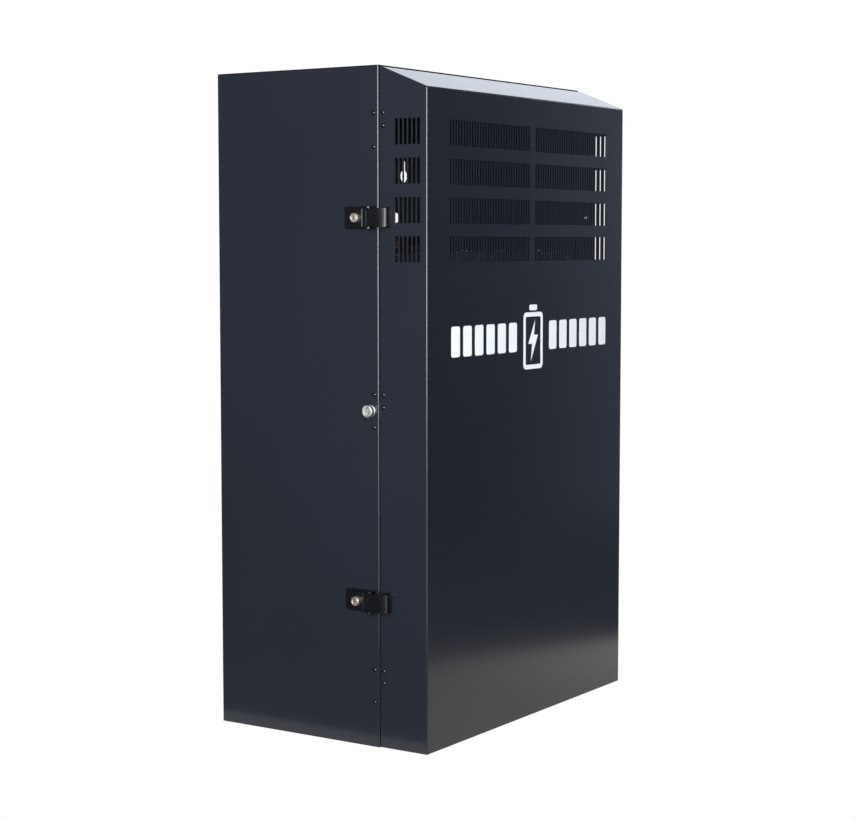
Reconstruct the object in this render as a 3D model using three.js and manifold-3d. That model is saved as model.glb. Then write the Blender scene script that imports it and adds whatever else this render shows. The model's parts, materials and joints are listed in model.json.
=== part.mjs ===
// Lockable rack battery cabinet: a folded sheet-steel body with a hinged, louvred front
// cover, holding two battery modules on end in a vertical 19-inch rack.
// Millimetres, +Z up, the front faces -Y, the origin is the centre of the base.

import * as THREE from 'three';
import { mergeGeometries, mergeVertices } from 'three/addons/utils/BufferGeometryUtils.js';
import Module from 'manifold-3d';

const wasm = await Module();
wasm.setup();

// ---- Driving dimensions ----

const width = 600;
const depth = 392;
const height = 1020;
const sheet = 1.5;
const bend = 3; // outside radius of a folded edge
const gap = 0.3; // air between neighbouring pieces

const side = width / 2;
const front = -depth / 2;
const back = depth / 2;
const insideSide = side - sheet;
const insideBack = back - sheet;

const cover = {
  depth: 84.2,
  seam: 2.5, // open line between cover and body
  bottom: 0.5,
  top: height - 3,
  shoulder: 4, // level strip of the top before it slopes
  slopeFoot: height - 35, // where the slope meets the front panel
};
const bodyFront = front + cover.depth + cover.seam;
const coverRear = front + cover.depth;
const frameFlange = 15; // return flange round the body's front opening

const slot = { width: 5.3, height: 38, rows: 4, rowPitch: 57.2, topEdge: 940.5 };
const frontSlots = { perGroup: 31, firstCentre: 11.2, pitch: 7.53 };
const sideSlots = { count: 6, firstLeft: 15.7, firstRight: 11.5, pitch: 7.78 };

const midHeight = 509.5;
const hingeHeights = { top: midHeight + 416, middle: midHeight, bottom: midHeight - 416 };
const latchHeights = { upper: midHeight + 287, lower: midHeight - 287 };

const keyhole = { x: 212, headZ: 877, headRadius: 11, neckRadius: 5, neckZ: 900 };
const spareHole = { y: front + 70.8, aboveLatch: 6.2, radius: 2.5 };
const tieHole = { x: 184, z: 803.5, halfWidth: 13.5, halfHeight: 8.5 };
const outlet = { x: 150, y: 120, panelRadius: 28, boreRadius: 22, lipRadius: 33 };

const hinge = { halfHeight: 30, leafWidth: 22, leaf: 2, knuckle: 4.3, pin: 2, offset: 4.8 };

// Places along Y are from `origin`, places along X are out from the side wall.
const latch = {
  origin: front + 85,
  plate: { from: 7, to: 61, halfHeight: 16.5, thickness: 3 },
  housing: { from: 21, to: 57, halfHeight: 13.5, proud: 8 },
  pin: { along: 12, proud: 11, radius: 1.5 },
  lever: { halfHeight: 14, thickness: 3, barrel: 3.6, length: 35.5, hook: 9.1 },
  ear: { thickness: 2.2, from: 7, to: 18, proud: 16 },
  lock: { along: 36, radius: 7, face: 16, depth: 11 },
  keeper: { from: -21, to: -6.5, halfHeight: 15, thickness: 2 },
};

const thumbscrew = { y: front + 101.5, z: midHeight, shank: 3, head: 9.2, waist: 6, collar: 9.8 };

// Battery modules stand on end, faces up, the three rack units of each lying along Y.
const rackUnit = 44.45;
const module = {
  units: 3,
  faceWidth: 482.6,
  caseWidth: 440,
  faceThickness: 3,
  faceZ: 742,
  clearance: 3, // taken off the nominal height of three rack units
};
const moduleHeight = module.units * rackUnit;
const moduleCase = moduleHeight - module.clearance;
const moduleRow = { front: front + 108 + moduleHeight / 2 };
moduleRow.rear = moduleRow.front + moduleHeight;

const rackHole = { x: 232.5, size: 9.5, offsets: [6.35, 22.225, 38.1] };
const shelfTop = 216;

const post = { positiveX: -180, negativeX: -140, shoulder: 12, stud: 4 };
const bar = { halfWidth: 8, thickness: 3, overhang: 34 };
const isolator = { x: -90, z: 900, halfWidth: 50, halfHeight: 50, depth: 74, knob: 24 };

// ---- Solids ----

const bases = {
  x: [[0, 1, 0], [0, 0, 1], [1, 0, 0]], // outline in (y, z)
  y: [[0, 0, 1], [1, 0, 0], [0, 1, 0]], // outline in (z, x)
  z: [[1, 0, 0], [0, 1, 0], [0, 0, 1]], // outline in (x, y)
};

function turned(geometry, axis) {
  const basis = bases[axis].map((column) => new THREE.Vector3(...column));
  return geometry.applyMatrix4(new THREE.Matrix4().makeBasis(...basis));
}

function solid(geometry) {
  const bare = geometry.clone();
  bare.deleteAttribute('normal');
  bare.deleteAttribute('uv');
  const merged = mergeVertices(bare, 1e-4);
  const corners = merged.index.array;
  const triVerts = [];
  for (let i = 0; i < corners.length; i += 3) {
    const [a, b, c] = corners.slice(i, i + 3);
    if (a !== b && b !== c && c !== a) triVerts.push(a, b, c);
  }
  return new wasm.Manifold(new wasm.Mesh({
    numProp: 3,
    vertProperties: new Float32Array(merged.attributes.position.array),
    triVerts: new Uint32Array(triVerts),
  }));
}

function box([x0, x1], [y0, y1], [z0, z1]) {
  const geometry = new THREE.BoxGeometry(x1 - x0, y1 - y0, z1 - z0);
  geometry.translate((x0 + x1) / 2, (y0 + y1) / 2, (z0 + z1) / 2);
  return solid(geometry);
}

// Several separate boxes of one size, as a single cutter.
function boxes(centres, size) {
  return solid(mergeGeometries(centres.map(([x, y, z]) => {
    const geometry = new THREE.BoxGeometry(...size);
    return geometry.translate(x, y, z);
  })));
}

function prism(axis, outline, from, to) {
  const shape = new THREE.Shape(outline.map(([a, b]) => new THREE.Vector2(a, b)));
  const geometry = new THREE.ExtrudeGeometry(shape, { depth: to - from, bevelEnabled: false });
  return solid(turned(geometry.translate(0, 0, from), axis));
}

function rod(axis, [a, b], radius, from, to, sides = 16) {
  const geometry = new THREE.CylinderGeometry(radius, radius, to - from, sides);
  geometry.rotateX(Math.PI / 2).translate(a, b, (from + to) / 2);
  return solid(turned(geometry, axis));
}

// Profile points are [radius, distance along the axis], from the near end to the far end.
function lathe(axis, [a, b], profile, sides = 16) {
  const points = profile.map(([radius, along]) => new THREE.Vector2(radius, along));
  const geometry = new THREE.LatheGeometry(points, sides);
  geometry.rotateX(Math.PI / 2).translate(a, b, 0);
  return solid(turned(geometry, axis));
}

function tube(points, radius, sides, steps) {
  const path = new THREE.CatmullRomCurve3(points.map((p) => new THREE.Vector3(...p)));
  const corners = Array.from({ length: sides }, (_, i) => {
    const angle = (2 * Math.PI * i) / sides;
    return new THREE.Vector2(radius * Math.cos(angle), radius * Math.sin(angle));
  });
  const section = new THREE.Shape(corners);
  return solid(new THREE.ExtrudeGeometry(section, { extrudePath: path, steps }));
}

function join(...solids) {
  return solids.reduce((whole, piece) => whole.add(piece));
}

function cut(whole, ...tools) {
  return tools.reduce((rest, tool) => rest.subtract(tool), whole);
}

// ---- Outlines ----

// Rounds each corner [a, b, radius] of a closed outline; a corner with no radius stays sharp.
function rounded(points, steps = 3) {
  return points.flatMap(([a, b, radius], i) => {
    if (!radius) return [[a, b]];
    const corner = new THREE.Vector2(a, b);
    const last = points.length - 1;
    const [before, after] = [points[i ? i - 1 : last], points[i < last ? i + 1 : 0]].map(
      ([c, d]) => new THREE.Vector2(c, d).sub(corner).normalize());
    const half = Math.acos(before.dot(after)) / 2;
    const middle = before.clone().add(after).normalize();
    const centre = corner.clone().addScaledVector(middle, radius / Math.sin(half));
    const start = corner.clone().addScaledVector(before, radius / Math.tan(half)).sub(centre);
    const sweep = Math.sign(before.cross(after)) * (2 * half - Math.PI);
    return Array.from({ length: steps + 1 }, (_, k) => {
      const point = start.clone().rotateAround(new THREE.Vector2(), (sweep * k) / steps);
      return [point.x + centre.x, point.y + centre.y];
    });
  });
}

function rectangle(a0, a1, b0, b1, radius = 0) {
  return rounded([[a0, b0, radius], [a1, b0, radius], [a1, b1, radius], [a0, b1, radius]]);
}

// Moves an open line of corners sideways to its left, keeping every stretch parallel.
function offset(points, distance) {
  const normals = points.slice(1).map(([a, b], i) => {
    const along = new THREE.Vector2(a - points[i][0], b - points[i][1]).normalize();
    return new THREE.Vector2(-along.y, along.x);
  });
  return points.map(([a, b, radius], i) => {
    const left = normals[Math.max(i - 1, 0)];
    const right = normals[Math.min(i, normals.length - 1)];
    const scale = distance / (1 + left.dot(right));
    const turn = Math.sign(left.cross(right));
    return [
      a + (left.x + right.x) * scale,
      b + (left.y + right.y) * scale,
      radius ? Math.max(radius - turn * distance, 0.5) : 0,
    ];
  });
}

// Section of a folded sheet whose one face follows the points and lies on their right.
function folded(points, thickness) {
  return rounded([...points, ...offset(points, thickness).reverse()]);
}

// ---- Parts ----

function finish(color, roughness, metalness) {
  return () => new THREE.MeshStandardMaterial({ color, roughness, metalness });
}

const finishes = {
  paint: finish(0x23272e, 0.42, 0.3),
  blackMetal: finish(0x17181a, 0.35, 0.4),
  blackPlastic: finish(0x141517, 0.5, 0),
  zinc: finish(0xb9bcc0, 0.32, 0.9),
  chrome: finish(0xd6d8da, 0.15, 1),
  brass: finish(0xb8904a, 0.35, 0.9),
  copper: finish(0xb0693f, 0.35, 0.9),
  rubber: finish(0x1b1b1c, 0.85, 0),
  moduleSteel: finish(0x2b2d30, 0.45, 0.3),
  cells: finish(0x2d5f96, 0.5, 0.1),
  redPlastic: finish(0xa32620, 0.45, 0),
  greyPlastic: finish(0xc9cac6, 0.5, 0),
  greenPlastic: finish(0x2f8f4e, 0.45, 0),
  orangeCable: finish(0xb9401f, 0.6, 0),
  blackCable: finish(0x1a1a1b, 0.6, 0),
};

function place(parent, name, shape, makeMaterial) {
  const { vertProperties, triVerts } = shape.getMesh();
  const indexed = new THREE.BufferGeometry();
  indexed.setAttribute('position', new THREE.BufferAttribute(vertProperties, 3));
  indexed.setIndex(new THREE.BufferAttribute(triVerts, 1));
  const geometry = indexed.toNonIndexed();
  geometry.computeVertexNormals();
  const mesh = new THREE.Mesh(geometry, makeMaterial());
  mesh.name = name;
  parent.add(mesh);
}

function groupAt(parent, x, y, z) {
  const group = new THREE.Group();
  group.position.set(x, y, z);
  parent.add(group);
  return group;
}

// ---- Body ----

function mirrored(make) {
  return [make(-1), make(1)];
}

function wallOpenings(sign) {
  const [near, far] = [insideBack - 1, back + 1];
  const { x, headZ, headRadius, neckRadius, neckZ } = keyhole;
  const tie = rounded([
    [tieHole.z - tieHole.halfHeight, sign * tieHole.x - tieHole.halfWidth, 8],
    [tieHole.z + tieHole.halfHeight, sign * tieHole.x - tieHole.halfWidth, 8],
    [tieHole.z + tieHole.halfHeight, sign * tieHole.x + tieHole.halfWidth, 8],
    [tieHole.z - tieHole.halfHeight, sign * tieHole.x + tieHole.halfWidth, 8],
  ]);
  return join(
    rod('y', [headZ, sign * x], headRadius, near, far),
    rod('y', [neckZ, sign * x], neckRadius, near, far, 12),
    box([sign * x - neckRadius, sign * x + neckRadius], [near, far], [headZ, neckZ]),
    prism('y', tie, near, far),
  );
}

function bodyWrap() {
  const section = folded([
    [side - frameFlange, bodyFront],
    [side, bodyFront, bend],
    [side, back, bend],
    [-side, back, bend],
    [-side, bodyFront, bend],
    [-side + frameFlange, bodyFront],
  ], sheet);
  const { y, z, shank } = thumbscrew;
  return cut(
    prism('z', section, 0, height - sheet - gap),
    ...mirrored(wallOpenings),
    // hole for the thumbscrew, and the notch its tab enters through
    rod('x', [y, z], shank + gap, -side - 1, -insideSide + 1),
    box([-insideSide, -side + frameFlange + 1], [bodyFront - 1, bodyFront + 6], [z - 20, z + 20]),
  );
}

// A flat panel with a flange all round that stands inside the body wrap.
function pan(panelZ, flangeZ, cap) {
  const inset = (by) => rectangle(-insideSide + gap + by, insideSide - gap - by,
    bodyFront + sheet + gap + by, insideBack - gap - by, 2);
  const wall = cut(
    prism('z', inset(0), ...flangeZ),
    prism('z', inset(sheet), flangeZ[0] - 1, flangeZ[1] + 1),
  );
  return join(prism('z', cap ?? inset(0), ...panelZ), wall);
}

function topPanel() {
  const cap = rectangle(-side, side, bodyFront, back, bend);
  const outlets = mirrored((sign) =>
    rod('z', [sign * outlet.x, outlet.y], outlet.panelRadius, height - 5, height + 1, 24));
  return cut(pan([height - sheet, height], [height - 14, height - sheet / 2], cap), ...outlets);
}

function grommet(sign) {
  const { boreRadius, lipRadius, panelRadius } = outlet;
  const [under, over] = [height - sheet - gap, height + gap];
  const neck = panelRadius - gap;
  const profile = [
    [boreRadius, under - 3], [lipRadius, under - 3], [lipRadius, under], [neck, under],
    [neck, over], [lipRadius, over], [lipRadius - 2, over + 3], [boreRadius, over + 3],
    [boreRadius, under - 3],
  ];
  return lathe('z', [sign * outlet.x, outlet.y], profile, 24);
}

function addBody(parent) {
  place(parent, 'body_wrap', bodyWrap(), finishes.paint);
  place(parent, 'top_panel', topPanel(), finishes.paint);
  place(parent, 'bottom_panel', pan([0, sheet], [sheet / 2, 14]), finishes.paint);
  place(parent, 'cable_grommet_left', grommet(-1), finishes.rubber);
  place(parent, 'cable_grommet_right', grommet(1), finishes.rubber);
}

// ---- Front cover ----

// The cover's block, with its closed faces moved in by `inset`.
function coverBlock(inset, rear) {
  const shoulder = coverRear - cover.shoulder;
  const profile = offset([
    [coverRear, cover.bottom],
    [front, cover.bottom, bend],
    [front, cover.slopeFoot, bend],
    [shoulder, cover.top, bend],
    [coverRear, cover.top],
  ], -inset);
  const plan = offset([
    [-side, coverRear],
    [-side, front, bend],
    [side, front, bend],
    [side, coverRear],
  ], inset);
  const toRear = ([a, b, radius], i, points) => (
    i === 0 || i === points.length - 1 ? [rear, b] : [a, b, radius]);
  const planToRear = ([a, b, radius], i, points) => (
    i === 0 || i === points.length - 1 ? [a, rear] : [a, b, radius]);
  return prism('x', rounded(profile.map(toRear)), -side, side).intersect(
    prism('z', rounded(plan.map(planToRear)), cover.bottom, cover.top));
}

function slotRows() {
  return Array.from({ length: slot.rows }, (_, row) =>
    slot.topEdge - slot.height / 2 - row * slot.rowPitch);
}

function frontSlotCutter() {
  const steps = Array.from({ length: frontSlots.perGroup }, (_, k) =>
    frontSlots.firstCentre + k * frontSlots.pitch);
  const centres = slotRows().flatMap((z) =>
    steps.flatMap((x) => [[-x, front, z], [x, front, z]]));
  return boxes(centres, [slot.width, 4 * sheet, slot.height]);
}

function sideSlotCutter() {
  const column = (x, first) => slotRows().flatMap((z) =>
    Array.from({ length: sideSlots.count }, (_, k) => [x, front + first + k * sideSlots.pitch, z]));
  const centres = [...column(-side, sideSlots.firstLeft), ...column(side, sideSlots.firstRight)];
  return boxes(centres, [4 * sheet, slot.width, slot.height]);
}

// Spare keeper holes in the hinge side, left from a cover that can be hung either way.
function spareHoles() {
  const { y, aboveLatch, radius } = spareHole;
  return Object.values(latchHeights).map((z) =>
    rod('x', [y, z + aboveLatch], radius, side - 2 * sheet, side + 1, 8));
}

function frontCover() {
  const hollow = coverBlock(sheet, coverRear + 5);
  return cut(coverBlock(0, coverRear), hollow, frontSlotCutter(), sideSlotCutter(),
    ...spareHoles());
}

// A forked tab on the cover that straddles the thumbscrew's shank inside the body.
function lockTab() {
  const { y, z, shank } = thumbscrew;
  const inner = -insideSide;
  const plate = join(
    box([inner + 2, inner + 4], [coverRear - 36, y + 10.5], [z - 14, z + 14]),
    box([inner + gap, inner + 3], [coverRear - 36, coverRear - 12], [z - 14, z + 14]),
  );
  const fork = box([inner, inner + 5], [y - shank - 1, y + 20], [z - shank - 1, z + shank + 1]);
  return cut(plate, fork);
}

function addCover(parent) {
  place(parent, 'front_cover', frontCover(), finishes.paint);
  place(parent, 'cover_lock_tab', lockTab(), finishes.zinc);
}

// ---- Lift-off hinges on the right-hand side ----

// `towards` is 1 for the leaf on the body and -1 for the leaf on the cover; the body's
// knuckle is the lower one, the cover's the upper one.
function hingeLeaf(towards) {
  const { halfHeight, leafWidth, leaf, knuckle, pin, offset: axisOffset } = hinge;
  const [low, high] = towards > 0 ? [-halfHeight, -gap / 2] : [gap / 2, halfHeight];
  const wall = [gap - axisOffset, gap + leaf - axisOffset];
  const edge = knuckle + 2 * gap;
  const span = (a, b) => [a * towards, b * towards].sort((p, q) => p - q);
  return cut(
    join(
      box(wall, span(edge, edge + leafWidth), [-halfHeight, halfHeight]),
      box(wall, span(knuckle / 2, edge + 1), [low, high]),
      rod('z', [0, 0], knuckle, low, high),
    ),
    rod('z', [0, 0], pin + gap, -halfHeight - 1, halfHeight + 1, 12),
  );
}

function addHinge(parent, name, z) {
  const group = groupAt(parent, side + hinge.offset, coverRear + cover.seam / 2, z);
  const { halfHeight, knuckle, pin } = hinge;
  const pinProfile = [
    [0, -halfHeight - 2.3], [knuckle, -halfHeight - 2.3], [knuckle, -halfHeight - gap],
    [pin, -halfHeight - gap], [pin, halfHeight - 1], [0, halfHeight - 1],
  ];
  place(group, `${name}_hinge_body_leaf`, hingeLeaf(1), finishes.blackMetal);
  place(group, `${name}_hinge_cover_leaf`, hingeLeaf(-1), finishes.blackMetal);
  place(group, `${name}_hinge_pin`, lathe('z', [0, 0], pinProfile, 12), finishes.zinc);
}

// ---- Keyed lever latches on the left-hand side ----

function latchBase() {
  const { plate, housing, pin, ear, lock } = latch;
  const plan = rounded([
    [-1, housing.from], [-housing.proud, housing.from, 2],
    [-housing.proud, housing.to, 2], [-1, housing.to],
  ]);
  const earInner = latch.lever.halfHeight + gap;
  const earPlan = rounded([
    [-1, ear.from], [-ear.proud, ear.from, 4.5], [-ear.proud, ear.to, 4.5], [-1, ear.to],
  ]);
  const ears = mirrored((sign) => {
    const [low, high] = [sign * earInner, sign * (earInner + ear.thickness)].sort((a, b) => a - b);
    return prism('z', earPlan, low, high);
  });
  const platePlan = rectangle(plate.from, plate.to, -plate.halfHeight, plate.halfHeight, 4);
  const body = join(
    prism('x', platePlan, -plate.thickness - gap, -gap),
    prism('z', plan, -housing.halfHeight, housing.halfHeight).subtract(
      box([-plate.thickness, 1], [0, plate.to + 5], [-20, 20])),
    ...ears.map((piece) => piece.subtract(box([-2, 1], [0, 30], [-20, 20]))),
  );
  return cut(
    body,
    rod('z', [-pin.proud, pin.along], pin.radius + gap, -20, 20, 12),
    rod('x', [lock.along, 0], lock.radius + gap, -lock.face, -lock.face + lock.depth, 24),
  );
}

function latchLever() {
  const { pin, lever } = latch;
  const outer = -lever.barrel;
  const section = folded([
    [outer, 0], [outer, -lever.length, 7], [outer + lever.hook, -lever.length],
  ], lever.thickness);
  return cut(
    join(
      prism('z', section, -lever.halfHeight, lever.halfHeight),
      rod('z', [0, 0], lever.barrel, -lever.halfHeight, lever.halfHeight),
    ),
    rod('z', [0, 0], pin.radius + gap, -20, 20, 12),
  );
}

function lockCylinder() {
  const { lock } = latch;
  const base = -lock.face + lock.depth - gap;
  const profile = [
    [0, -lock.face], [lock.radius - 0.8, -lock.face], [lock.radius, -lock.face + 0.8],
    [lock.radius, base], [0, base],
  ];
  const keyway = box([-lock.face - 1, -lock.face + 6], [-0.9, 0.9], [-4, 4]);
  return cut(lathe('x', [0, 0], profile, 24), keyway);
}

function latchKeeper() {
  const { keeper } = latch;
  const plan = rectangle(keeper.from, keeper.to, -keeper.halfHeight, keeper.halfHeight, 3);
  return join(
    prism('x', plan, -keeper.thickness - gap, -gap),
    box([-keeper.thickness - 2, -keeper.thickness], [-19, -15], [-12, 12]),
  );
}

function addLatch(parent, name, z) {
  const group = groupAt(parent, -side, latch.origin, z);
  const { pin, lock } = latch;
  const pinLength = latch.lever.halfHeight + latch.ear.thickness + gap;
  place(group, `${name}_latch_base`, latchBase(), finishes.blackMetal);
  place(group, `${name}_latch_keeper`, latchKeeper(), finishes.blackMetal);
  const pinShape = rod('z', [-pin.proud, pin.along], pin.radius, -pinLength, pinLength, 12);
  place(group, `${name}_latch_pin`, pinShape, finishes.zinc);
  const leverGroup = groupAt(group, -pin.proud, pin.along, 0);
  place(leverGroup, `${name}_latch_lever`, latchLever(), finishes.blackMetal);
  const lockGroup = groupAt(group, 0, lock.along, 0);
  place(lockGroup, `${name}_lock_cylinder`, lockCylinder(), finishes.chrome);
}

// ---- Quarter-turn thumbscrew at mid height ----

function addThumbscrew(parent) {
  const { y, z, shank, head, waist, collar } = thumbscrew;
  const group = groupAt(parent, -side, y, z);
  const ring = [
    [shank + gap, -3], [collar - 1.5, -3], [collar, -1.8], [collar, -gap], [shank + gap, -gap],
    [shank + gap, -3],
  ];
  place(group, 'thumbscrew_collar', lathe('x', [0, 0], ring, 24), finishes.zinc);
  const teeth = 20;
  const knurl = Array.from({ length: 2 * teeth }, (_, i) => {
    const radius = i % 2 ? head : head - 0.6;
    const angle = (Math.PI * i) / teeth;
    return [radius * Math.cos(angle), radius * Math.sin(angle)];
  });
  const tabInner = sheet + 4; // the tab's inner face, in from the side
  const stud = join(
    prism('x', knurl, -11, -5.5),
    rod('x', [0, 0], waist, -6, -3 - gap),
    rod('x', [0, 0], shank, -4, tabInner + 3, 12),
    box([tabInner + 0.6, tabInner + 2.6], [-1.5, 1.5], [-7, 7]),
  );
  const driverSlot = box([-12, -9.4], [-head - 1, head + 1], [-0.9, 0.9]);
  place(group, 'thumbscrew_stud', cut(stud, driverSlot), finishes.chrome);
}

// ---- Rack inside the body ----

function rackRail(sign) {
  const wall = insideSide - gap;
  const section = folded([
    [module.faceZ - 45, sign * wall],
    [module.faceZ - gap, sign * wall, bend],
    [module.faceZ - gap, sign * (module.caseWidth / 2 + 2)],
  ], -sign * 2);
  const start = moduleRow.front - moduleHeight / 2;
  const units = 2 * module.units;
  const centres = Array.from({ length: units }, (_, unit) => rackHole.offsets.map((along) =>
    [sign * rackHole.x, start + unit * rackUnit + along, module.faceZ])).flat();
  return cut(
    prism('y', section, start - 4, start + 2 * moduleHeight + 4),
    boxes(centres, [rackHole.size, rackHole.size, 10]),
  );
}

function supportShelf() {
  const rear = insideBack - gap;
  const section = folded([
    [moduleRow.front - moduleHeight / 2 - 6, shelfTop + 16],
    [moduleRow.front - moduleHeight / 2 - 6, shelfTop - 2, bend],
    [rear, shelfTop - 2, bend],
    [rear, shelfTop + 16],
  ], 2);
  return prism('x', section, -insideSide + bend, insideSide - bend);
}

// Bar that joins the like posts of both modules and carries on to the rear.
function linkBar(x) {
  const z0 = module.faceZ + module.faceThickness + post.shoulder + 2 * gap;
  const outline = rectangle(x - bar.halfWidth, x + bar.halfWidth,
    moduleRow.front - 10, moduleRow.rear + bar.overhang, 2);
  return cut(
    prism('z', outline, z0, z0 + bar.thickness),
    ...Object.values(moduleRow).map((y) => rod('z', [x, y], post.stud + 0.4, z0 - 1, z0 + 5, 12)),
  );
}

function isolatorCable(fromX, toX) {
  const barTop = module.faceZ + module.faceThickness + post.shoulder + 2 * gap + bar.thickness;
  const start = moduleRow.rear + 18;
  const rise = isolator.z - isolator.halfHeight - gap;
  const radius = 5;
  const centre = barTop + radius + 0.5;
  const middle = (fromX + toX) / 2;
  return join(
    tube([
      [fromX, start, centre], [fromX, start + 14, centre + 1],
      [fromX + 3, start + 27, centre + 16], [middle, start + 28, (centre + rise) / 2 + 4],
      [toX, start + 24, rise - 22], [toX, start + 24, rise],
    ], radius, 8, 14),
    box([fromX - 7, fromX + 7], [start - 6, start + 8], [barTop + gap, barTop + 3.3]),
  );
}

function addIsolator(parent) {
  const { x, z, halfWidth, halfHeight, knob } = isolator;
  const group = groupAt(parent, x, insideBack - gap, z);
  const face = -isolator.depth;
  const outline = rectangle(-halfHeight, halfHeight, -halfWidth, halfWidth, 8);
  const body = cut(
    join(
      prism('y', outline, face, 0),
      rod('y', [0, 0], knob + 7, face - 4, face + 1, 24),
    ),
    rod('y', [0, 0], knob + 1, face - 5, face + 4, 24),
    rod('y', [0, 0], 6 + gap, face - 5, face + 20, 12),
  );
  place(group, 'isolator_body', body, finishes.greyPlastic);
  const handle = join(
    rod('y', [0, 0], knob, face - 4, face + 3, 24),
    rod('y', [0, 0], 6, face, face + 15, 12),
    box([-7, 7], [face - 20, face], [-knob + 2, knob - 2]),
  );
  place(group, 'isolator_knob', handle, finishes.redPlastic);
}

function earthStud() {
  const start = insideBack - gap;
  const profile = [
    [0, start - 26], [3.4, start - 26], [4, start - 25], [4, start - 12], [8, start - 12],
    [8, start - 6], [11, start - 6], [11, start], [0, start],
  ];
  return lathe('y', [60, 230], profile, 12);
}

function addRack(parent) {
  place(parent, 'rack_rail_left', rackRail(-1), finishes.zinc);
  place(parent, 'rack_rail_right', rackRail(1), finishes.zinc);
  place(parent, 'support_shelf', supportShelf(), finishes.paint);
  place(parent, 'positive_link_bar', linkBar(post.positiveX), finishes.copper);
  place(parent, 'negative_link_bar', linkBar(post.negativeX), finishes.copper);
  const terminal = { positiveX: isolator.x - 22, negativeX: isolator.x + 22 };
  place(parent, 'positive_cable', isolatorCable(post.positiveX, terminal.positiveX), finishes.orangeCable);
  place(parent, 'negative_cable', isolatorCable(post.negativeX, terminal.negativeX), finishes.blackCable);
  place(parent, 'earth_stud', earthStud(), finishes.brass);
  addIsolator(parent);
}

// ---- Battery module, built about the middle of its face plate's underside ----

const breaker = { x: -75, halfWidth: 18, halfHeight: 42, nose: 22, rise: 14 };
const button = { x: 60, y: 30, radius: 6, stroke: 2 };
const handleGrip = { x: 205, halfLength: 44, reach: 40, radius: 4.5 };

function caseTray(low) {
  const [x, y] = [module.caseWidth / 2, moduleCase / 2];
  return cut(
    box([-x, x], [-y + sheet + gap, y], [low, -gap]),
    box([-x + sheet, x - sheet], [-y - 1, y - sheet], [low + sheet, 1]),
  );
}

function caseLid(low) {
  const [x, y] = [module.caseWidth / 2, moduleCase / 2];
  return join(
    box([-x, x], [-y, -y + sheet], [low, -gap]),
    ...mirrored((sign) => {
      const outer = sign * (x - sheet - gap);
      const span = [outer, outer - sign * sheet].sort((a, b) => a - b);
      return box(span, [-y + sheet / 2, -y + 14], [low + 10, -10]);
    }),
  );
}

// Two tiers of prismatic cells side by side, with a joint line at every cell.
function cellStack() {
  const cell = { thickness: 50, count: 8, groove: 1, height: 118, tiers: 320 };
  const half = (cell.thickness * cell.count) / 2;
  const edge = (y, direction) => Array.from({ length: cell.count - 1 }, (_, i) => {
    const x = direction * (-half + (i + 1) * cell.thickness);
    const inner = y - Math.sign(y) * 2;
    const step = direction * cell.groove;
    return [[x - step, y], [x - step, inner], [x + step, inner], [x + step, y]];
  }).flat();
  const y = cell.height / 2;
  const outline = [[-half, -y], ...edge(-y, 1), [half, -y], [half, y], ...edge(y, -1), [-half, y]];
  const low = shelfTop - module.faceZ + 12;
  return prism('z', outline, low, low + cell.tiers);
}

function facePlate() {
  const { faceWidth, faceThickness } = module;
  const [x, y] = [faceWidth / 2, moduleHeight / 2 - 0.4];
  const plate = prism('z', rectangle(-x, x, -y, y, 2), 0, faceThickness);
  const through = (px, py, radius) => rod('z', [px, py], radius, -1, faceThickness + 1, 12);
  const earSlots = mirrored((sx) => mirrored((sy) => {
    const [cx, cy] = [sx * rackHole.x, sy * (y - 16)];
    return prism('z', rectangle(cx - 5, cx + 5, cy - 3.4, cy + 3.4, 3), -1, faceThickness + 1);
  })).flat();
  const window = box([breaker.x - breaker.halfWidth - gap, breaker.x + breaker.halfWidth + gap],
    [-breaker.halfHeight - gap, breaker.halfHeight + gap], [-1, faceThickness + 1]);
  return cut(plate, window, through(button.x, button.y, button.radius + gap), ...earSlots);
}

// Bow handle standing on the face plate, its feet one behind the other along Y.
function handle(x) {
  const { halfLength, reach, radius } = handleGrip;
  const base = module.faceThickness + gap;
  const corner = 12;
  const arc = (sign) => Array.from({ length: 4 }, (_, k) => {
    const angle = (Math.PI / 6) * k;
    return [x, sign * (halfLength - corner + corner * Math.cos(angle)),
      base + reach - corner + corner * Math.sin(angle)];
  });
  const path = [[x, -halfLength, base], ...arc(-1), ...arc(1).reverse(), [x, halfLength, base]];
  const bow = tube(path, radius, 8, 18);
  return cut(bow, box([x - 9, x + 9], [-halfLength - 9, halfLength + 9], [base - 9, base]));
}

function breakerBody() {
  const { x, halfWidth, halfHeight, nose, rise } = breaker;
  const top = module.faceThickness + 3;
  return cut(
    join(
      box([x - halfWidth, x + halfWidth], [-halfHeight, halfHeight], [-40, top]),
      box([x - halfWidth, x + halfWidth], [-nose, nose], [top - 1, rise]),
    ),
    box([x - 9, x + 9], [-13, 13], [rise - 13, rise + 1]),
  );
}

// The toggle stands tilted towards -Y at rest, which is its closed position.
function breakerToggle() {
  const radius = 5;
  return join(
    rod('x', [0, 0], radius, -8.5, 8.5),
    box([-8.5, 8.5], [-2.5, 2.5], [0, 17]),
  );
}

function terminalPost(x) {
  const base = module.faceThickness + gap;
  const seat = base + post.shoulder;
  const nut = seat + bar.thickness + 2 * gap;
  const profile = [
    [0, base], [10, base], [10, seat], [post.stud, seat], [post.stud, nut], [7.5, nut],
    [7.5, nut + 6.5], [post.stud, nut + 6.5], [post.stud, nut + 14], [0, nut + 14],
  ];
  return lathe('z', [x, 0], profile, 12);
}

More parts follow.
